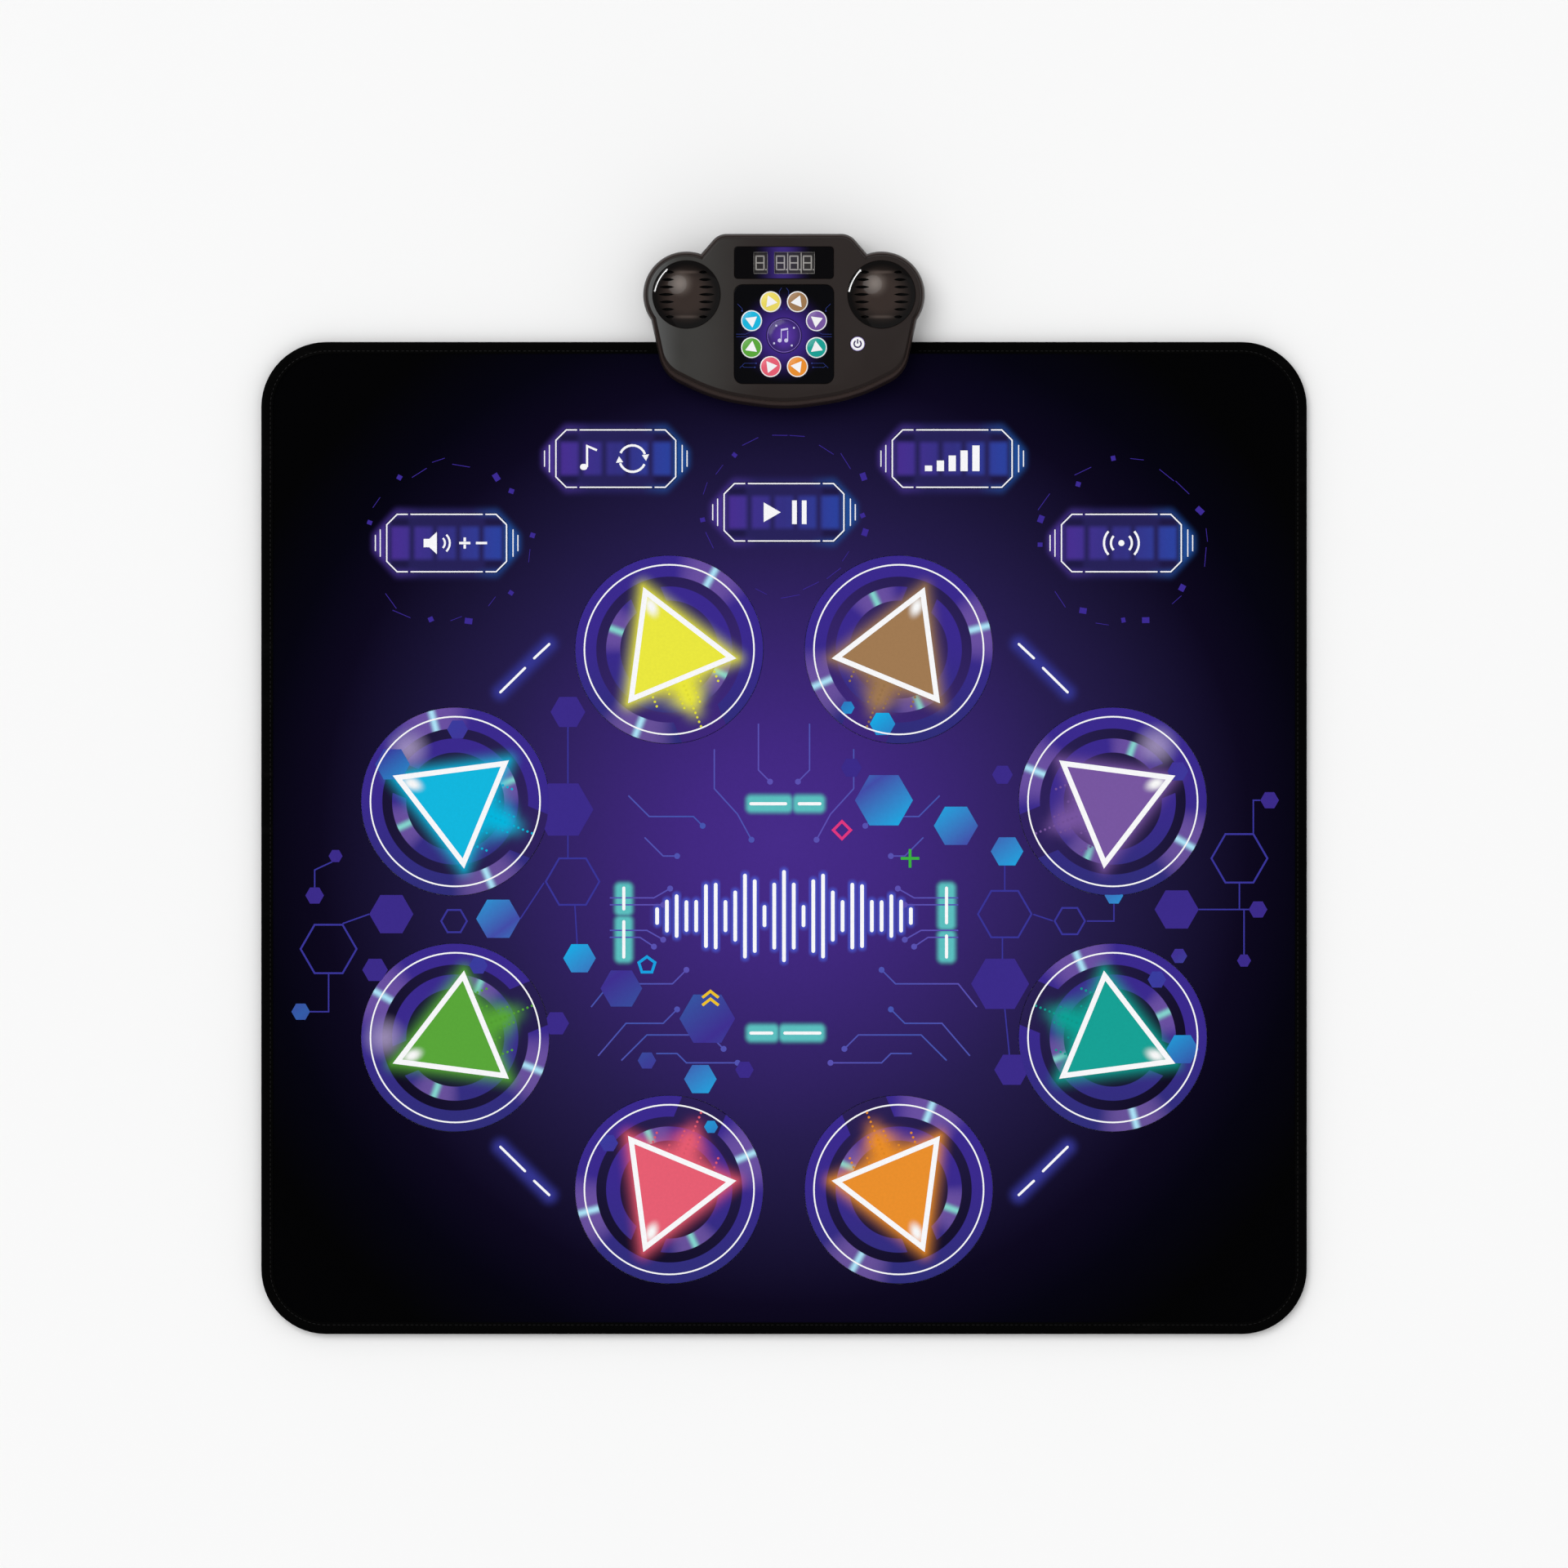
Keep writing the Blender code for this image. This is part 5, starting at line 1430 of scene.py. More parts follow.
class Sign:
    """Draws the signs of the control pads. Places are in millimetres, and drawn 1.2 times as large."""

    def __init__(self, bm, centre):
        self.bm = bm
        self.centre = centre
        self.low, self.high = PAD_TOP - PRINT_DEPTH, PAD_TOP + PRINT_DEPTH

    def at(self, place):
        return self.centre.x + 0.0012 * place[0], self.centre.y + 0.0012 * place[1]

    def plate(self, outline, over=0.0):
        add_plate(self.bm, outline, self.low, self.high + over)

    def block(self, x, half, bottom, top):
        corners = ((x - half, bottom), (x + half, bottom), (x + half, top), (x - half, top))
        self.plate([self.at(corner) for corner in corners])

    def line(self, points, width):
        add_line(self.bm, [self.at(point) for point in points], width, self.low, self.high)

    def volume(self):
        """A loudspeaker, with a plus and a minus."""
        horn = ((-16.5, -3.0), (-12.5, -3.0), (-7.0, -8.0), (-7.0, 8.0), (-12.5, 3.0), (-16.5, 3.0))
        self.plate([self.at(point) for point in horn])
        for radius in (5.0, 8.5):
            self.line(arc((-6.2, 0.0), radius, -45, 45, 15), 0.0017)
        self.line(((9.0, 0.0), (17.0, 0.0)), 0.0021)
        self.line(((21.0, 0.0), (29.0, 0.0)), 0.0021)
        for side in (1, -1):
            self.line(((13.0, side * 1.1), (13.0, side * 4.0)), 0.0021)

    def mode(self):
        """A note, and two arrows that turn."""
        self.plate(capsule(self.at((-23.5, -6.0)), self.at((-22.5, -6.0)), 0.0052, 8), OVERLAP)
        self.line(((-20.6, -6.0), (-20.6, 9.0), (-13.5, 6.0)), 0.0018)
        for turn in (0, 180):
            self.line(arc((12.0, 0.0), 9.5, turn + 20, turn + 155, 15), 0.0020)
            tip = self.at(on_circle((12.0, 0.0), 9.5, turn + 8))
            self.plate(polygon(tip, 0.0036, 3, turn - 85), OVERLAP)

    def start(self):
        """Play and pause."""
        self.plate(polygon(self.at((-10.5, 0.0)), 0.0098, 3))
        for x in (7.5, 14.5):
            self.block(x, 1.7, -8.5, 8.5)

    def level(self):
        """Bars that rise."""
        for k in range(5):
            self.block(-17.0 + 8.5 * k, 2.6, -9.0, -5.0 + 3.6 * k)

    def wireless(self):
        """A point with waves on both sides."""
        self.plate(polygon(self.centre, 0.0026, 16))
        for radius in (7.5, 12.5):
            for turn in (0, 180):
                self.line(arc((0.0, 0.0), radius, turn - 42, turn + 42, 12), 0.0019)


class DANCE_MAT_OT_control_pads(PieceOperator, bpy.types.Operator):
    """Makes the five control pads, each with a broken frame, side bars and a sign"""

    bl_idname = "dance_mat.control_pads"
    bl_label = "Control Pads"

    def execute(self, context):
        pads = context.scene.dance_mat_pads
        bars = bmesh.new()
        for name, centre in CONTROL_CENTRES.items():
            body = name + "_pad"
            steps = [(0.0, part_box(body)[0].z), (0.0, COVER_TOP - 0.0002), (-0.0005, COVER_TOP + 0.0001)]
            steps += [(-0.0030, 0.0090), (-0.0065, 0.0093), (-0.0110, PAD_TOP)]
            bm = bmesh.new()
            add_layers(bm, [(control_outline(centre, grow), level) for grow, level in steps])
            material = control_pad_material(name)
            pad = make_piece(name + "_pad_skin", bm, material, body, body, crease=60)
            bm = bmesh.new()
            self.add_frame_lines(bm, centre, pads.frame_line)
            getattr(Sign(bm, centre), name)()
            make_piece(name + "_pad_lines", bm, white_ink(), body=body)
            for side in (-1, 1):
                for out, height in ((0.0045, 0.0228), (0.0087, 0.0132)):
                    x = centre.x + side * (pads.frame_width / 2 + out)
                    bar = capsule((x, centre.y - height / 2), (x, centre.y + height / 2), 0.0009)
                    add_plate(bars, bar, COVER_TOP - 0.00005, COVER_TOP + PRINT_DEPTH)
        make_piece("frame_side_bars", bars, white_ink())
        return {"FINISHED"}

    def add_frame_lines(self, bm, centre, width):
        """The white line near the pad's edge, broken twice along its top and bottom."""
        style = (width, COVER_TOP + 0.0002, COVER_TOP + 0.0005)
        inner_gap, outer_gap = 0.0311, 0.0334
        half = control_half(-0.0011)
        reach = half[-1][1]
        end = [(outer_gap, -reach), *half, (outer_gap, reach)]
        for side in (-1, 1):
            add_line(bm, [(centre.x + side * x, centre.y + y) for x, y in end], *style)
            level = centre.y + side * reach
            add_line(bm, ((centre.x - inner_gap, level), (centre.x + inner_gap, level)), *style)


# The print between the pads. Each hexagon has its place in millimetres and its radius.
HEXAGONS = {
    "plain": (
        (-186, 62, 15), (-190, -22, 26), (-196, -206, 11), (-338, -112, 19), (-404, -96, 8), (-386, -62, 6),
        (-352, -160, 11), (-34, -246, 8), (58, 14, 9), (188, 8, 9), (186, -172, 25), (196, -246, 15),
        (338, -108, 19), (418, -14, 8), (408, -108, 8), (396, -152, 6),
    ),
    "bright": (
        (-246, -116, 19), (-176, -150, 14), (-72, -254, 14), (86, -14, 25), (148, -36, 19), (192, -58, 14),
        (284, -96, 8),
    ),
    "slate": ((-140, -176, 18), (-416, -196, 8), (-66, -202, 24), (-118, -238, 8), (340, -148, 7)),
    "line": (
        (-182, -84, 24), (-392, -142, 25), (190, -112, 24), (392, -64, 25), (246, -118, 14),
        (-284, -118, 12),
    ),
}
# Thin joins between hexagons, as places in millimetres
JOINS = (
    ((-186, 49), (-186, 0)), ((-186, -44), (-186, -63.2)), ((-180, -104.8), (-178, -138)),
    ((-227, -116), (-206.6, -85)), ((-404, -89), (-404, -74), (-389, -67)), ((-357, -112), (-380, -120.2)),
    ((-392, -163.7), (-392, -196), (-408, -196)), ((190, -70), (190, -91.2)), ((188, -132.8), (188, -151)),
    ((190, -193), (194, -233)), ((357, -108), (400, -108)), ((392, -85.7), (392, -107.4)),
    ((404, -42.3), (404, -14), (410, -14)), ((396, -108.6), (396, -147)),
    ((260.6, -118), (284, -118), (284, -103)), ((214.6, -112.2), (231.4, -117.8)),
)
# Circuit lines of the right half, as places in millimetres, each ending in a dot; the left half mirrors them
CIRCUITS = (
    ((150, -98), (112, -98), (98, -90)), ((150, -104), (104, -104)), ((150, -126), (118, -126), (104, -134)),
    ((150, -132), (124, -132), (112, -140)), ((166, -192), (150, -172), (96, -172), (84, -160)),
    ((160, -234), (136, -206), (104, -206), (92, -194)), ((140, -238), (118, -216), (64, -216), (52, -228)),
    ((110, -232), (92, -232), (84, -240), (40, -240)), ((60, 30), (60, -4), (40, -26), (28, -48)),
    ((22, 52), (22, 12), (12, 2)), ((120, -46), (104, -62), (92, -62)),
    ((134, -10), (116, -28), (78, -28), (70, -36)),
)


class DANCE_MAT_OT_print(PieceOperator, bpy.types.Operator):
    """Lays the crisp print on the cover: hexagons, circuit lines, dashes, sound bars and figures"""

    bl_idname = "dance_mat.print"
    bl_label = "Cover Print"

    def execute(self, context):
        settings = context.scene.dance_mat
        self.make_hexagons(settings)
        self.make_circuits()
        self.make_white_lines()
        self.make_figures()
        self.make_rings(context.scene.dance_mat_pads)
        return {"FINISHED"}

    def layer(self, order):
        """The low and high level of a print that lies over the ones before it."""
        return COVER_TOP - 0.0001, COVER_TOP + 0.00004 * (order + 1)

    def make_hexagons(self, settings):
        cyan = graded_ink("cyan_hexagons", settings.cyan_colour, display(66, 76, 170))
        slate = graded_ink("slate_hexagons", display(50, 92, 168), display(62, 46, 146))
        indigo = ink("indigo_print", settings.hex_colour)
        looks = (("plain", "indigo", indigo), ("bright", "cyan", cyan), ("slate", "slate", slate))
        for kind, name, material in looks:
            bm = bmesh.new()
            for x, y, radius in HEXAGONS[kind]:
                add_plate(bm, polygon((x / 1000, y / 1000), radius / 1000, 6), *self.layer(2))
            make_piece(name + "_hexagons", bm, material)
        bm = bmesh.new()
        for x, y, radius in HEXAGONS["line"]:
            add_frame(bm, polygon((x / 1000, y / 1000), radius / 1000, 6), 0.0016, *self.layer(1))
        for route in JOINS:
            add_line(bm, millimetres(route), 0.0012, *self.layer(1))
        outline_ink = ink("outline_print", display(56, 52, 152))
        make_piece("hexagon_outlines", bm, outline_ink)

    def make_circuits(self):
        bm = bmesh.new()
        for side in (-1, 1):
            for route in CIRCUITS:
                points = millimetres((side * x, y) for x, y in route)
                add_line(bm, points, 0.0012, *self.layer(0))
                add_plate(bm, polygon(points[-1], 0.0026, 12), *self.layer(1))
        make_piece("circuit_lines", bm, circuit_ink())

    def make_white_lines(self):
        levels = self.layer(2)
        bm = bmesh.new()
        for side in (-1, 1):
            for end in (-1, 1):
                for dash in DASHES:
                    points = [(side * x, PLAY_MIDDLE.y + end * y) for x, y in dash]
                    add_plate(bm, capsule(*points, DASH_WIDTH), *levels)
        for axis, line, _, span in CAPSULES:
            points = [(s, line) if axis == "x" else (line, s) for s in span]
            add_plate(bm, capsule(*points, 0.0027), *levels)
        make_piece("white_dashes", bm, white_ink())
        bm = bmesh.new()
        for k in range(-WAVE_COUNT, WAVE_COUNT + 1):
            x, half = k * WAVE_PITCH, wave_reach(k)
            bar = capsule((x, WAVE_MIDDLE - half), (x, WAVE_MIDDLE + half), WAVE_BAR, 8)
            add_plate(bm, bar, *levels)
        make_piece("sound_bars", bm, white_ink())

    def make_figures(self):
        """Four small drawn figures between the capsules."""
        diamond, plus, pentagon, chevrons = (bmesh.new() for _ in range(4))
        width = 0.0024
        style = (width, *self.layer(3))
        add_frame(diamond, polygon((0.0499, -0.0397), 0.0092, 4), *style)
        x, y, arm = 0.1085, -0.0640, 0.0080
        add_line(plus, [(x - arm, y), (x + arm, y)], *style)
        for side in (-1, 1):
            add_line(plus, [(x, y + side * width / 2), (x, y + side * arm)], *style)
        add_frame(pentagon, polygon((-0.1180, -0.1560), 0.0088, 5, 90), *style)
        for y in (-0.1905, -0.1839):
            add_line(chevrons, [(-0.0703, y), (-0.0633, y + 0.0055), (-0.0563, y)], *style)
        figures = (
            ("pink", "diamond", diamond, display(226, 54, 128)),
            ("green", "plus", plus, display(58, 178, 62)),
            ("blue", "pentagon", pentagon, display(20, 160, 226)),
            ("yellow", "chevrons", chevrons, display(240, 196, 40)),
        )
        for colour, shape, bm, tone in figures:
            make_piece(f"{colour}_{shape}", bm, ink(colour + "_figure", tone))

    def make_rings(self, pads):
        """Faint chips and scratches scattered on a circle round three of the control pads."""
        bm = bmesh.new()
        draw = random.Random(11)
        for name in ("volume", "start", "wireless"):
            for first in range(0, 360, 18):
                span, width = draw.choice(((13, 0.0006), (9, 0.0005), (5, 0.0050), (3, 0.0042)))
                start, away = first + draw.uniform(-5, 5), 0.0700 + draw.uniform(-0.0060, 0.0050)
                ends = ((away, start), (away + draw.uniform(-0.0030, 0.0030), start + span))
                points = [Vector(on_circle(CONTROL_CENTRES[name], *end)) for end in ends]
                if all(self.clear(point, pads) for point in points):
                    add_line(bm, points, width, *self.layer(1))
        circle_ink = ink("circle_print", display(58, 40, 146))
        make_piece("broken_circles", bm, circle_ink)

    def clear(self, place, pads):
        """Whether a point of the print lies off the pads."""
        margin = 0.004
        half_x, half_y = pads.frame_width / 2 + 3 * margin, pads.frame_depth / 2 + margin
        if any((place - centre).length < PAD_EDGE + margin for centre in PAD_CENTRES.values()):
            return False
        ways = [place - centre for centre in CONTROL_CENTRES.values()]
        return not any(abs(way.x) < half_x and abs(way.y) < half_y for way in ways)


# The console's outline: the right half, as x, y, corner radius and the share of an inset that the
# side after the corner takes, from the front middle round to the rear
FRONT_SHARE = 2.0
BODY_CORNERS = (
    (0.0, 0.3216, 0.150, FRONT_SHARE),
    (0.0600, 0.3300, 0.150, FRONT_SHARE),
    (0.1040, 0.3520, 0.030, 1.0),
    (0.1155, 0.4050, 0.006, 1.0),
    (0.0565, 0.4735, 0.016, 1.0),
)
# The shell's skirt, as shares of the face's inset and levels
SKIRT = (
    (0.0, SHELL_SPLIT), (0.03, 0.0240), (0.10, 0.0300), (0.17, 0.0330), (0.28, 0.0352), (0.42, 0.0367),
    (0.52, 0.0372), (0.56, 0.0368), (0.62, 0.0368), (0.66, 0.0380), (0.84, 0.0393), (0.94, 0.0398),
    (1.0, FACE_LEVEL),
)
SHELL_CEILING = FACE_LEVEL - SHELL_WALL


def body_outline(inset):
    shares = (1.0, 1.0, FRONT_SHARE, FRONT_SHARE)
    corners = zip(reversed(BODY_CORNERS[1:]), shares)
    left = [(-x, y, radius, share) for (x, y, radius, _), share in corners]
    return rounded_corners([*BODY_CORNERS, *left], inset, 12)


def lobe_centres():
    return [middle(side + "_speaker_grille") for side in ("left", "right")]


class DANCE_MAT_OT_console_shell(PieceOperator, bpy.types.Operator):
    """Makes the console's two shells, its battery door, feet and screws"""

    bl_idname = "dance_mat.console_shell"
    bl_label = "Console Shells"

    def execute(self, context):
        console = context.scene.dance_mat_console
        shell = self.make_top(console.face_inset)
        self.hollow(shell, console.face_inset)
        self.cut_openings(shell)
        shell.data.set_sharp_from_angle(angle=math.radians(28))
        trim = plastic("under_shell_plastic", console.trim_colour, 0.55, 0.35)
        refined("console_bottom_shell", trim, 0.0004)
        refined("battery_door", trim, 0.0003)
        rubber = plastic("foot_rubber", display(24, 24, 24), 0.85, 0.25, 1600.0, 0.00006)
        steel = metal("screw_steel", display(190, 190, 194), 0.35)
        for side in ("left", "right"):
            refined(side + "_foot", rubber, 0.0004)
            refined(side + "_shell_screw", steel, 0.0002)
        refined("battery_door_screw", steel, 0.0002)
        return {"FINISHED"}

    def make_top(self, inset):
        """A skirt that leans in to a rounded shoulder, a fine groove, and the flat face."""
        bm = bmesh.new()
        add_layers(bm, [(body_outline(share * inset), level) for share, level in SKIRT])
        shell = make_piece("console_cover", bm, shell_material(), "console_top_shell")
        bm = bmesh.new()
        skirt = [(LOBE_RADIUS - share * inset, level) for share, level in SKIRT]
        for centre in lobe_centres():
            add_turned(bm, [(0.0, SHELL_SPLIT), *skirt, (0.0, FACE_LEVEL)], centre, 96)
        combine(shell, bm, "UNION")
        return shell

    def hollow(self, shell, inset):
        low = SHELL_SPLIT - 0.001
        room = ((0.0, low), (0.10, 0.0300), (0.60, SHELL_CEILING - 0.001), (0.80, SHELL_CEILING))
        bm = bmesh.new()
        add_layers(bm, [(body_outline(SHELL_WALL + share * inset), level) for share, level in room])
        combine(shell, bm)
        bm = bmesh.new()
        radius = LOBE_RADIUS - SHELL_WALL
        wall = [(radius - share * inset, level - PLATE_GAP) for share, level in room]
        for centre in lobe_centres():
            add_turned(bm, [(0.0, low - 0.001), *wall, (0.0, SHELL_CEILING - PLATE_GAP)], centre, 64)
        combine(shell, bm)

    def cut_openings(self, shell):
        bm = bmesh.new()
        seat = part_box("display_window")[0].z - PLATE_GAP
        ledge, lean = 0.0030, 0.0004
        for node, radius in (("display_window", WINDOW_CORNER), ("indicator_panel", PANEL_CORNER)):
            insets = (ledge, -PLATE_GAP, -PLATE_GAP - lean)
            hole, pocket, mouth = (rectangle(*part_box(node), radius, inset) for inset in insets)
            layers = [(hole, SHELL_CEILING - 0.001), (hole, seat), (pocket, seat)]
            layers += [(pocket, FACE_LEVEL - lean), (mouth, FACE_LEVEL), (mouth, FACE_LEVEL + 0.001)]
            add_layers(bm, layers)
        for centre in lobe_centres():
            self.add_countersink(bm, centre, GRILLE_RADIUS + PLATE_GAP, 0.0005, 96)
        self.add_countersink(bm, middle("power_button"), BUTTON_RADIUS + PLATE_GAP, lean, 48)
        combine(shell, bm)

    def add_countersink(self, bm, centre, radius, lean, sides):
        """A round cutter that widens a little at the face."""
        low, high = SHELL_CEILING - 0.001, FACE_LEVEL + 0.001
        profile = ((0.0, low), (radius, low), (radius, FACE_LEVEL - lean))
        profile += ((radius + lean, FACE_LEVEL), (radius + lean, high), (0.0, high))
        add_turned(bm, profile, centre, sides)


# Faint circuit lines of the indicator panel's right half, as places in millimetres from its middle
PANEL_LINES = (
    ((41.0, 0.0), (33.0, 0.0), (26.5, 3.0)), ((41.0, -2.2), (32.0, -2.2), (27.0, -5.0)),
    ((40.0, 26.0), (36.0, 22.0), (36.0, 20.0)), ((2.0, 40.0), (4.0, 37.0), (4.0, 25.0), (2.5, 21.5)),
    ((38.0, -29.0), (34.0, -25.0), (24.0, -25.0)), ((36.0, -27.0), (34.5, -28.5), (25.0, -28.5)),
)


def lens_level(away):
    """The level of a small lens's skin at a distance from its middle."""
    return FACE_LEVEL + 0.0012 - 0.0008 * (away / LENS_RADIUS) ** 2


def flanged(radius, low):
    """The profile of a lens under the face: its flange, and the start of its wall."""
    wide, top = radius + 0.0013, low + 0.0012
    return [(0.0, low), (wide, low), (wide, top), (radius, top)]


def from_face(*profile):
    """A profile whose levels are measured from the console's face."""
    return [(radius, FACE_LEVEL + level) for radius, level in profile]


class DANCE_MAT_OT_console_face(PieceOperator, bpy.types.Operator):
    """Makes what is on the console's face: window, digits, panel, lenses and power button"""

    bl_idname = "dance_mat.console_face"
    bl_label = "Console Face"

    def execute(self, context):
        console = context.scene.dance_mat_console
        white = plastic("lens_white", display(246, 246, 248), 0.3, 0.4)
        self.make_window()
        self.make_digits(console)
        self.make_panel()
        self.make_lenses(context.scene.dance_mat_pads, console, white)
        self.make_centre_lens()
        self.make_button(white)
        return {"FINISHED"}

    def make_window(self):
        low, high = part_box("display_window")
        bm = bmesh.new()
        add_plate(bm, rectangle(low, high, WINDOW_CORNER), low.z, high.z)
        window = make_piece("display_glass", bm, window_material(), "display_window")
        round_edges(window, 0.0003)

    def make_digits(self, console):
        case = plastic("digit_case", console.digit_case, 0.5, 0.3)
        light = plastic("digit_segments", console.digit_colour, 0.35, 0.4)
        for node, count in DISPLAYS.items():
            low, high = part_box(node)
            bm = bmesh.new()
            add_box(bm, (low.x, high.x), (low.y, high.y), (low.z, high.z - 0.0003))
            body = make_piece(node + "_case", bm, case, node)
            round_edges(body, 0.0002)
            bm = bmesh.new()
            pitch = (high.x - low.x) / count
            levels = (high.z - 0.0005, high.z - 0.0001)
            for k in range(count):
                left, right = low.x + k * pitch, low.x + k * pitch + pitch
                cell = [(left, low.y), (right, low.y), (right, high.y), (left, high.y)]
                add_frame(bm, cell, 0.0004, *levels)
                centre = Vector(((left + right) / 2 - 0.0005, (low.y + high.y) / 2))
                self.add_digit(bm, console, centre, levels)
            make_piece(node + "_digits", bm, light)

    def add_digit(self, bm, console, centre, levels):
        """An upright figure of eight and a point."""
        half = Vector((console.digit_width, console.digit_height)) / 2
        line = console.segment_width
        add_frame(bm, rectangle(centre - half, centre + half, 0.0005, steps=3), line, *levels)
        bar = Vector((half.x - line, line / 2))
        add_plate(bm, rectangle(centre - bar, centre + bar, 0.0, steps=1), *levels)
        point = centre + Vector((half.x + 0.0012, line / 2 - half.y))
        add_plate(bm, polygon(point, 0.0007, 12), *levels)

    def make_panel(self):
        low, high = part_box("indicator_panel")
        bm = bmesh.new()
        add_plate(bm, rectangle(low, high, PANEL_CORNER), low.z, high.z)
        panel = make_piece("indicator_plate", bm, panel_material(), "indicator_panel")
        holes = [(middle(name + "_lens"), LENS_RADIUS) for name in SPRAY]
        bm = bmesh.new()
        for centre, radius in holes + [(LENS_MIDDLE, CENTRE_LENS_RADIUS)]:
            add_plate(bm, polygon(centre, radius + PLATE_GAP, 64), low.z - 0.001, high.z + 0.001)
        combine(panel, bm)
        round_edges(panel, 0.0003)
        bm = bmesh.new()
        base = high.z - 0.0001
        for side in (-1, 1):
            for route in PANEL_LINES:
                points = [(side * x / 1000, PANEL_MIDDLE.y + y / 1000) for x, y in route]
                add_line(bm, points, 0.00035, base, high.z + 0.00004)
                add_plate(bm, polygon(points[-1], 0.0007, 10), base, high.z + 0.00006)
        lines = plastic("panel_lines", display(38, 52, 128), 0.3, 0.2)
        make_piece("panel_circuit_lines", bm, lines)

    def make_lenses(self, pads, console, white):
        """Small domes, with a white rim and a triangle on each."""
        radius = LENS_RADIUS
        levels = lens_level(0.0056) - 0.0002, FACE_LEVEL + 0.00125
        dome = [(radius * (1 - k / 8), lens_level(radius * (1 - k / 8))) for k in range(1, 9)]
        inner, inner_level = radius - 0.0009, lens_level(radius - 0.0009)
        rim = [(inner, inner_level - 0.0002), (inner, inner_level + 0.00005)]
        rim += from_face((radius - 0.0004, 0.0005), (radius, 0.0001), (radius, -0.0002))
        marks = bmesh.new()
        for name, heading in SPRAY.items():
            node = name + "_lens"
            centre = middle(node)
            bm = bmesh.new()
            profile = flanged(radius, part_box(node)[0].z)
            add_turned(bm, profile + [(radius, FACE_LEVEL)] + dome, centre, 64)
            tone = console.yellow_lens if name == "yellow" else getattr(pads, name)
            make_piece(node + "_dome", bm, plastic(node, tone, 0.18, 0.3, 900.0, 0.00001), node)
            add_turned(marks, rim, centre, 64, ring=True)
            triangle = polygon(centre, 0.0060, 3, heading + 180.0)
            add_plate(marks, rounded_corners([(x, y, 0.0003, 1.0) for x, y in triangle], 0.0, 3), *levels)
        make_piece("lens_marks", marks, white)

    def make_centre_lens(self):
        """The round centre lens: a violet disc with a thin ring, four glints and a note."""
        radius = CENTRE_LENS_RADIUS
        profile = flanged(radius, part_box("centre_lens")[0].z)
        profile += from_face((radius, 0.0002), (radius - 0.0006, 0.0006))
        profile += from_face((radius * 0.6, 0.0010), (0.0, 0.0011))
        bm = bmesh.new()
        add_turned(bm, profile, LENS_MIDDLE, 96)
        violet = centre_lens_material()
        make_piece("centre_lens_dome", bm, violet, "centre_lens", crease=50)
        bm = bmesh.new()
        circle = polygon(LENS_MIDDLE, radius - 0.0006, 96)
        add_frame(bm, circle, 0.0004, FACE_LEVEL + 0.0004, FACE_LEVEL + 0.0009)
        ring = plastic("centre_lens_ring", display(140, 108, 208), 0.3, 0.2)
        make_piece("centre_lens_ring", bm, ring)

        bm = bmesh.new()
        low, high = FACE_LEVEL + 0.0008, FACE_LEVEL + 0.00118
        # Four small pale plates stand for glints on the lens: painted highlights
        for angle in (38, 128, 218, 308):
            add_plate(bm, polygon(on_circle(LENS_MIDDLE, radius * 0.72, angle), 0.0011, 4, angle), low, high)
        x, y = LENS_MIDDLE
        for stem in (x - 0.0024, x + 0.0032):
            add_plate(bm, polygon((stem - 0.0013, y - 0.0042), 0.0017, 16), low, high + OVERLAP)
            add_line(bm, [(stem, y - 0.0038), (stem, y + 0.0042)], 0.0007, low, high)
        add_line(bm, [(x - 0.0027, y + 0.0048), (x + 0.0035, y + 0.0058)], 0.0016, low, high + OVERLAP)
        pale = plastic("centre_lens_marks", display(206, 200, 236), 0.3, 0.4)
        make_piece("centre_lens_marks", bm, pale)

    def make_button(self, white):
        node, slot = "power_button", "button_white"
        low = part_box(node)[0].z
        centre, radius = middle(node), BUTTON_RADIUS
        flange = SHELL_CEILING - PLATE_GAP
        stem, wide = 0.0025, radius + 0.0015
        profile = [(0.0, low), (stem, low), (stem, flange - 0.0015), (wide, flange - 0.0015), (wide, flange)]
        profile += [(radius, flange)]
        profile += from_face((radius, 0.0010), (radius - 0.0002, 0.0013), (radius - 0.0007, 0.0015))
        profile += from_face((radius * 0.5, 0.0017), (0.0, 0.00175))
        bm = bmesh.new()
        add_turned(bm, profile, centre, 64)
        make_piece("power_button_cap", bm, white, node, node, crease=50)
        bm = bmesh.new()
        levels = (FACE_LEVEL + 0.0015, FACE_LEVEL + 0.00182)
        add_line(bm, arc(centre, 0.0030, 125, 415, 10), 0.0012, *levels)
        add_line(bm, [(centre.x, centre.y + 0.0002), (centre.x, centre.y + 0.0040)], 0.0012, *levels)
        sign = plastic("power_sign", display(56, 40, 92), 0.4, 0.2)
        make_piece("power_button_sign", bm, sign, body=node)
        bm = bmesh.new()
        inner, outer = radius - 0.0003, radius + 0.00015
        ring = from_face((inner, 0.0008), (outer, 0.0008), (outer, 0.0011), (inner, 0.0014))
        add_turned(bm, ring, centre, 64, ring=True)
        edge = plastic("power_button_edge", display(150, 130, 200), 0.4, 0.3)
        make_piece("power_button_edge", bm, edge, body=node)


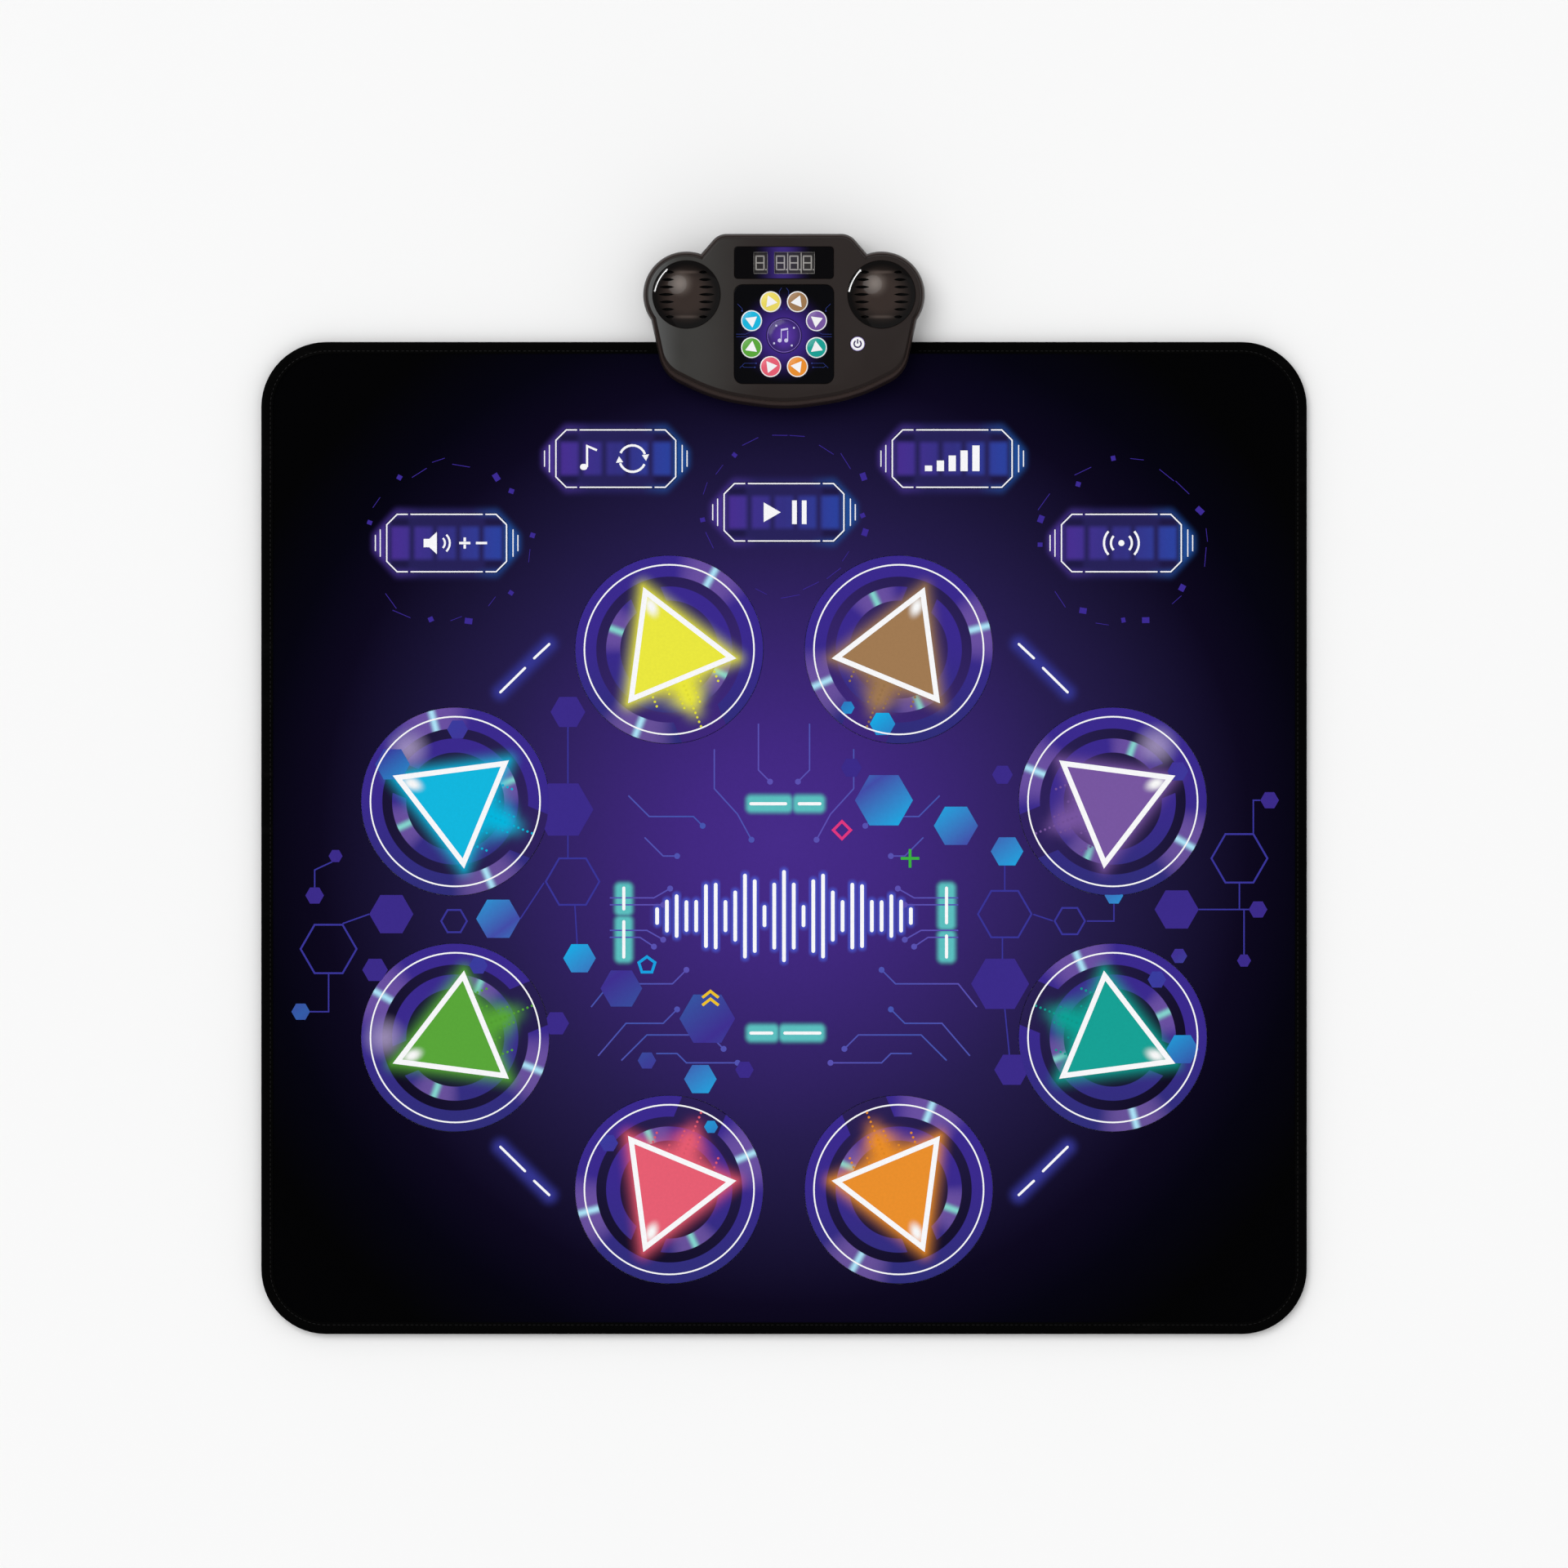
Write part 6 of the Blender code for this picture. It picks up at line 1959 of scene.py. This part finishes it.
class DANCE_MAT_OT_speakers(PieceOperator, bpy.types.Operator):
    """Makes the two slotted domes, and finishes the speakers under them"""

    bl_idname = "dance_mat.speakers"
    bl_label = "Speakers"

    def execute(self, context):
        black = dome_material()
        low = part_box("left_speaker_grille")[0].z
        wall, flange, rise = 0.0018, 0.0310, 0.0015
        profile = self.dome_profile(0.0, 20) + [(GRILLE_RADIUS, low + rise), (flange, low + rise)]
        profile += [(flange, low), (GRILLE_RADIUS - wall, low)] + self.dome_profile(wall, 10)[::-1]
        for side in ("left", "right"):
            node = side + "_speaker_grille"
            centre = middle(node)
            bm = bmesh.new()
            add_turned(bm, profile, centre, 96)
            dome = make_piece(side + "_grille_dome", bm, black, node)
            bm = bmesh.new()
            for row in range(-3, 4):
                for way in (-1, 1):
                    slit = [(centre.x + x, centre.y + y) for x, y in self.slit(row, way)]
                    add_plate(bm, slit, FACE_LEVEL - 0.0002, FACE_LEVEL + 0.02)
            combine(dome, bm)
            dome.data.set_sharp_from_angle(angle=math.radians(30))
            round_edges(dome, 0.0003)
        steel = metal("speaker_steel", display(150, 150, 153), 0.42)
        paper = cone_material()
        for side in ("left", "right"):
            refined(side + "_speaker_frame", steel, 0.0003)
            refined(side + "_speaker_cone", paper, 0.0002)
        return {"FINISHED"}

    def dome_profile(self, wall, steps):
        """Radius and level points down a dome, from its top to its rim."""
        ball = (GRILLE_RADIUS ** 2 + GRILLE_RISE ** 2) / (2 * GRILLE_RISE)
        centre = FACE_LEVEL + GRILLE_RISE - ball
        radius = ball - wall
        reach = math.asin((GRILLE_RADIUS - wall) / radius)
        angles = [reach * k / steps for k in range(steps + 1)]
        return [(radius * math.sin(a), centre + radius * math.cos(a)) for a in angles]

    def slit(self, row, way):
        """A slot that narrows to a point at both ends."""
        first, last = way * 0.0105, way * (0.0242, 0.0234, 0.0216, 0.0184)[abs(row)]
        if way < 0:
            first, last = last, first
        half = [(k / 8, 0.0013 * math.sin(math.pi * k / 8) ** 0.8) for k in range(8, -1, -1)]
        sides = half + [(share, -height) for share, height in reversed(half[1:-1])]
        return [(first + (last - first) * share, row * SLOT_PITCH + height) for share, height in sides]


class DANCE_MAT_OT_console_inside(PieceOperator, bpy.types.Operator):
    """Finishes what the console holds: board, connector, film tail, switch, clamp and cells"""

    bl_idname = "dance_mat.console_inside"
    bl_label = "Console Inside"

    def execute(self, context):
        refined("main_board", board_material())
        steel = metal("clamp_steel", display(170, 170, 172), 0.4)
        for node in ("clamp_plate", "left_clamp_screw", "right_clamp_screw"):
            refined(node, steel, 0.0002)
        box = plastic("inner_plastic", display(48, 48, 48), 0.6)
        refined("battery_box", box)
        switch = plastic("switch_black", display(34, 34, 34), 0.5)
        refined("power_switch", switch, 0.0002)
        connector = plastic("connector_cream", display(224, 220, 205), 0.5)
        refined("tail_connector", connector, 0.0003)
        sleeve = cell_material()
        for k in range(1, 5):
            refined(f"battery_cell_{k}", sleeve, 0.0003)
        dress("film_tail", tail_material())
        return {"FINISHED"}


class DANCE_MAT_PT_panel(bpy.types.Panel):
    """Lists the operators in the order in which they run"""

    bl_label = "Dance Mat"
    bl_idname = "DANCE_MAT_PT_panel"
    bl_space_type = "VIEW_3D"
    bl_region_type = "UI"
    bl_category = "Dance Mat"

    def draw(self, context):
        for operator in OPERATORS:
            self.layout.operator(operator.bl_idname)
        for name in SETTINGS:
            box = self.layout.box()
            settings = getattr(context.scene, name)
            for key in settings.__annotations__:
                box.prop(settings, key)


SETTINGS = {
    "dance_mat": MatSettings,
    "dance_mat_pads": PadSettings,
    "dance_mat_console": ConsoleSettings,
    "dance_mat_stage": StageSettings,
}
OPERATORS = (
    DANCE_MAT_OT_stage,
    DANCE_MAT_OT_layers,
    DANCE_MAT_OT_cover,
    DANCE_MAT_OT_binding,
    DANCE_MAT_OT_arrow_pads,
    DANCE_MAT_OT_control_pads,
    DANCE_MAT_OT_print,
    DANCE_MAT_OT_console_shell,
    DANCE_MAT_OT_console_face,
    DANCE_MAT_OT_speakers,
    DANCE_MAT_OT_console_inside,
)


def register():
    for settings in SETTINGS.values():
        bpy.utils.register_class(settings)
    for name, settings in SETTINGS.items():
        setattr(bpy.types.Scene, name, PointerProperty(type=settings))
    for operator in OPERATORS:
        bpy.utils.register_class(operator)
    bpy.utils.register_class(DANCE_MAT_PT_panel)


def unregister():
    bpy.utils.unregister_class(DANCE_MAT_PT_panel)
    for operator in reversed(OPERATORS):
        bpy.utils.unregister_class(operator)
    for name, settings in SETTINGS.items():
        delattr(bpy.types.Scene, name)
        bpy.utils.unregister_class(settings)


def main():
    register()
    for name in ("Cube", "Light", "Camera"):
        if name in bpy.data.objects:
            bpy.data.objects.remove(bpy.data.objects[name])
    for operator in OPERATORS:
        group, name = operator.bl_idname.split(".")
        getattr(getattr(bpy.ops, group), name)()


if __name__ == "__main__":
    main()
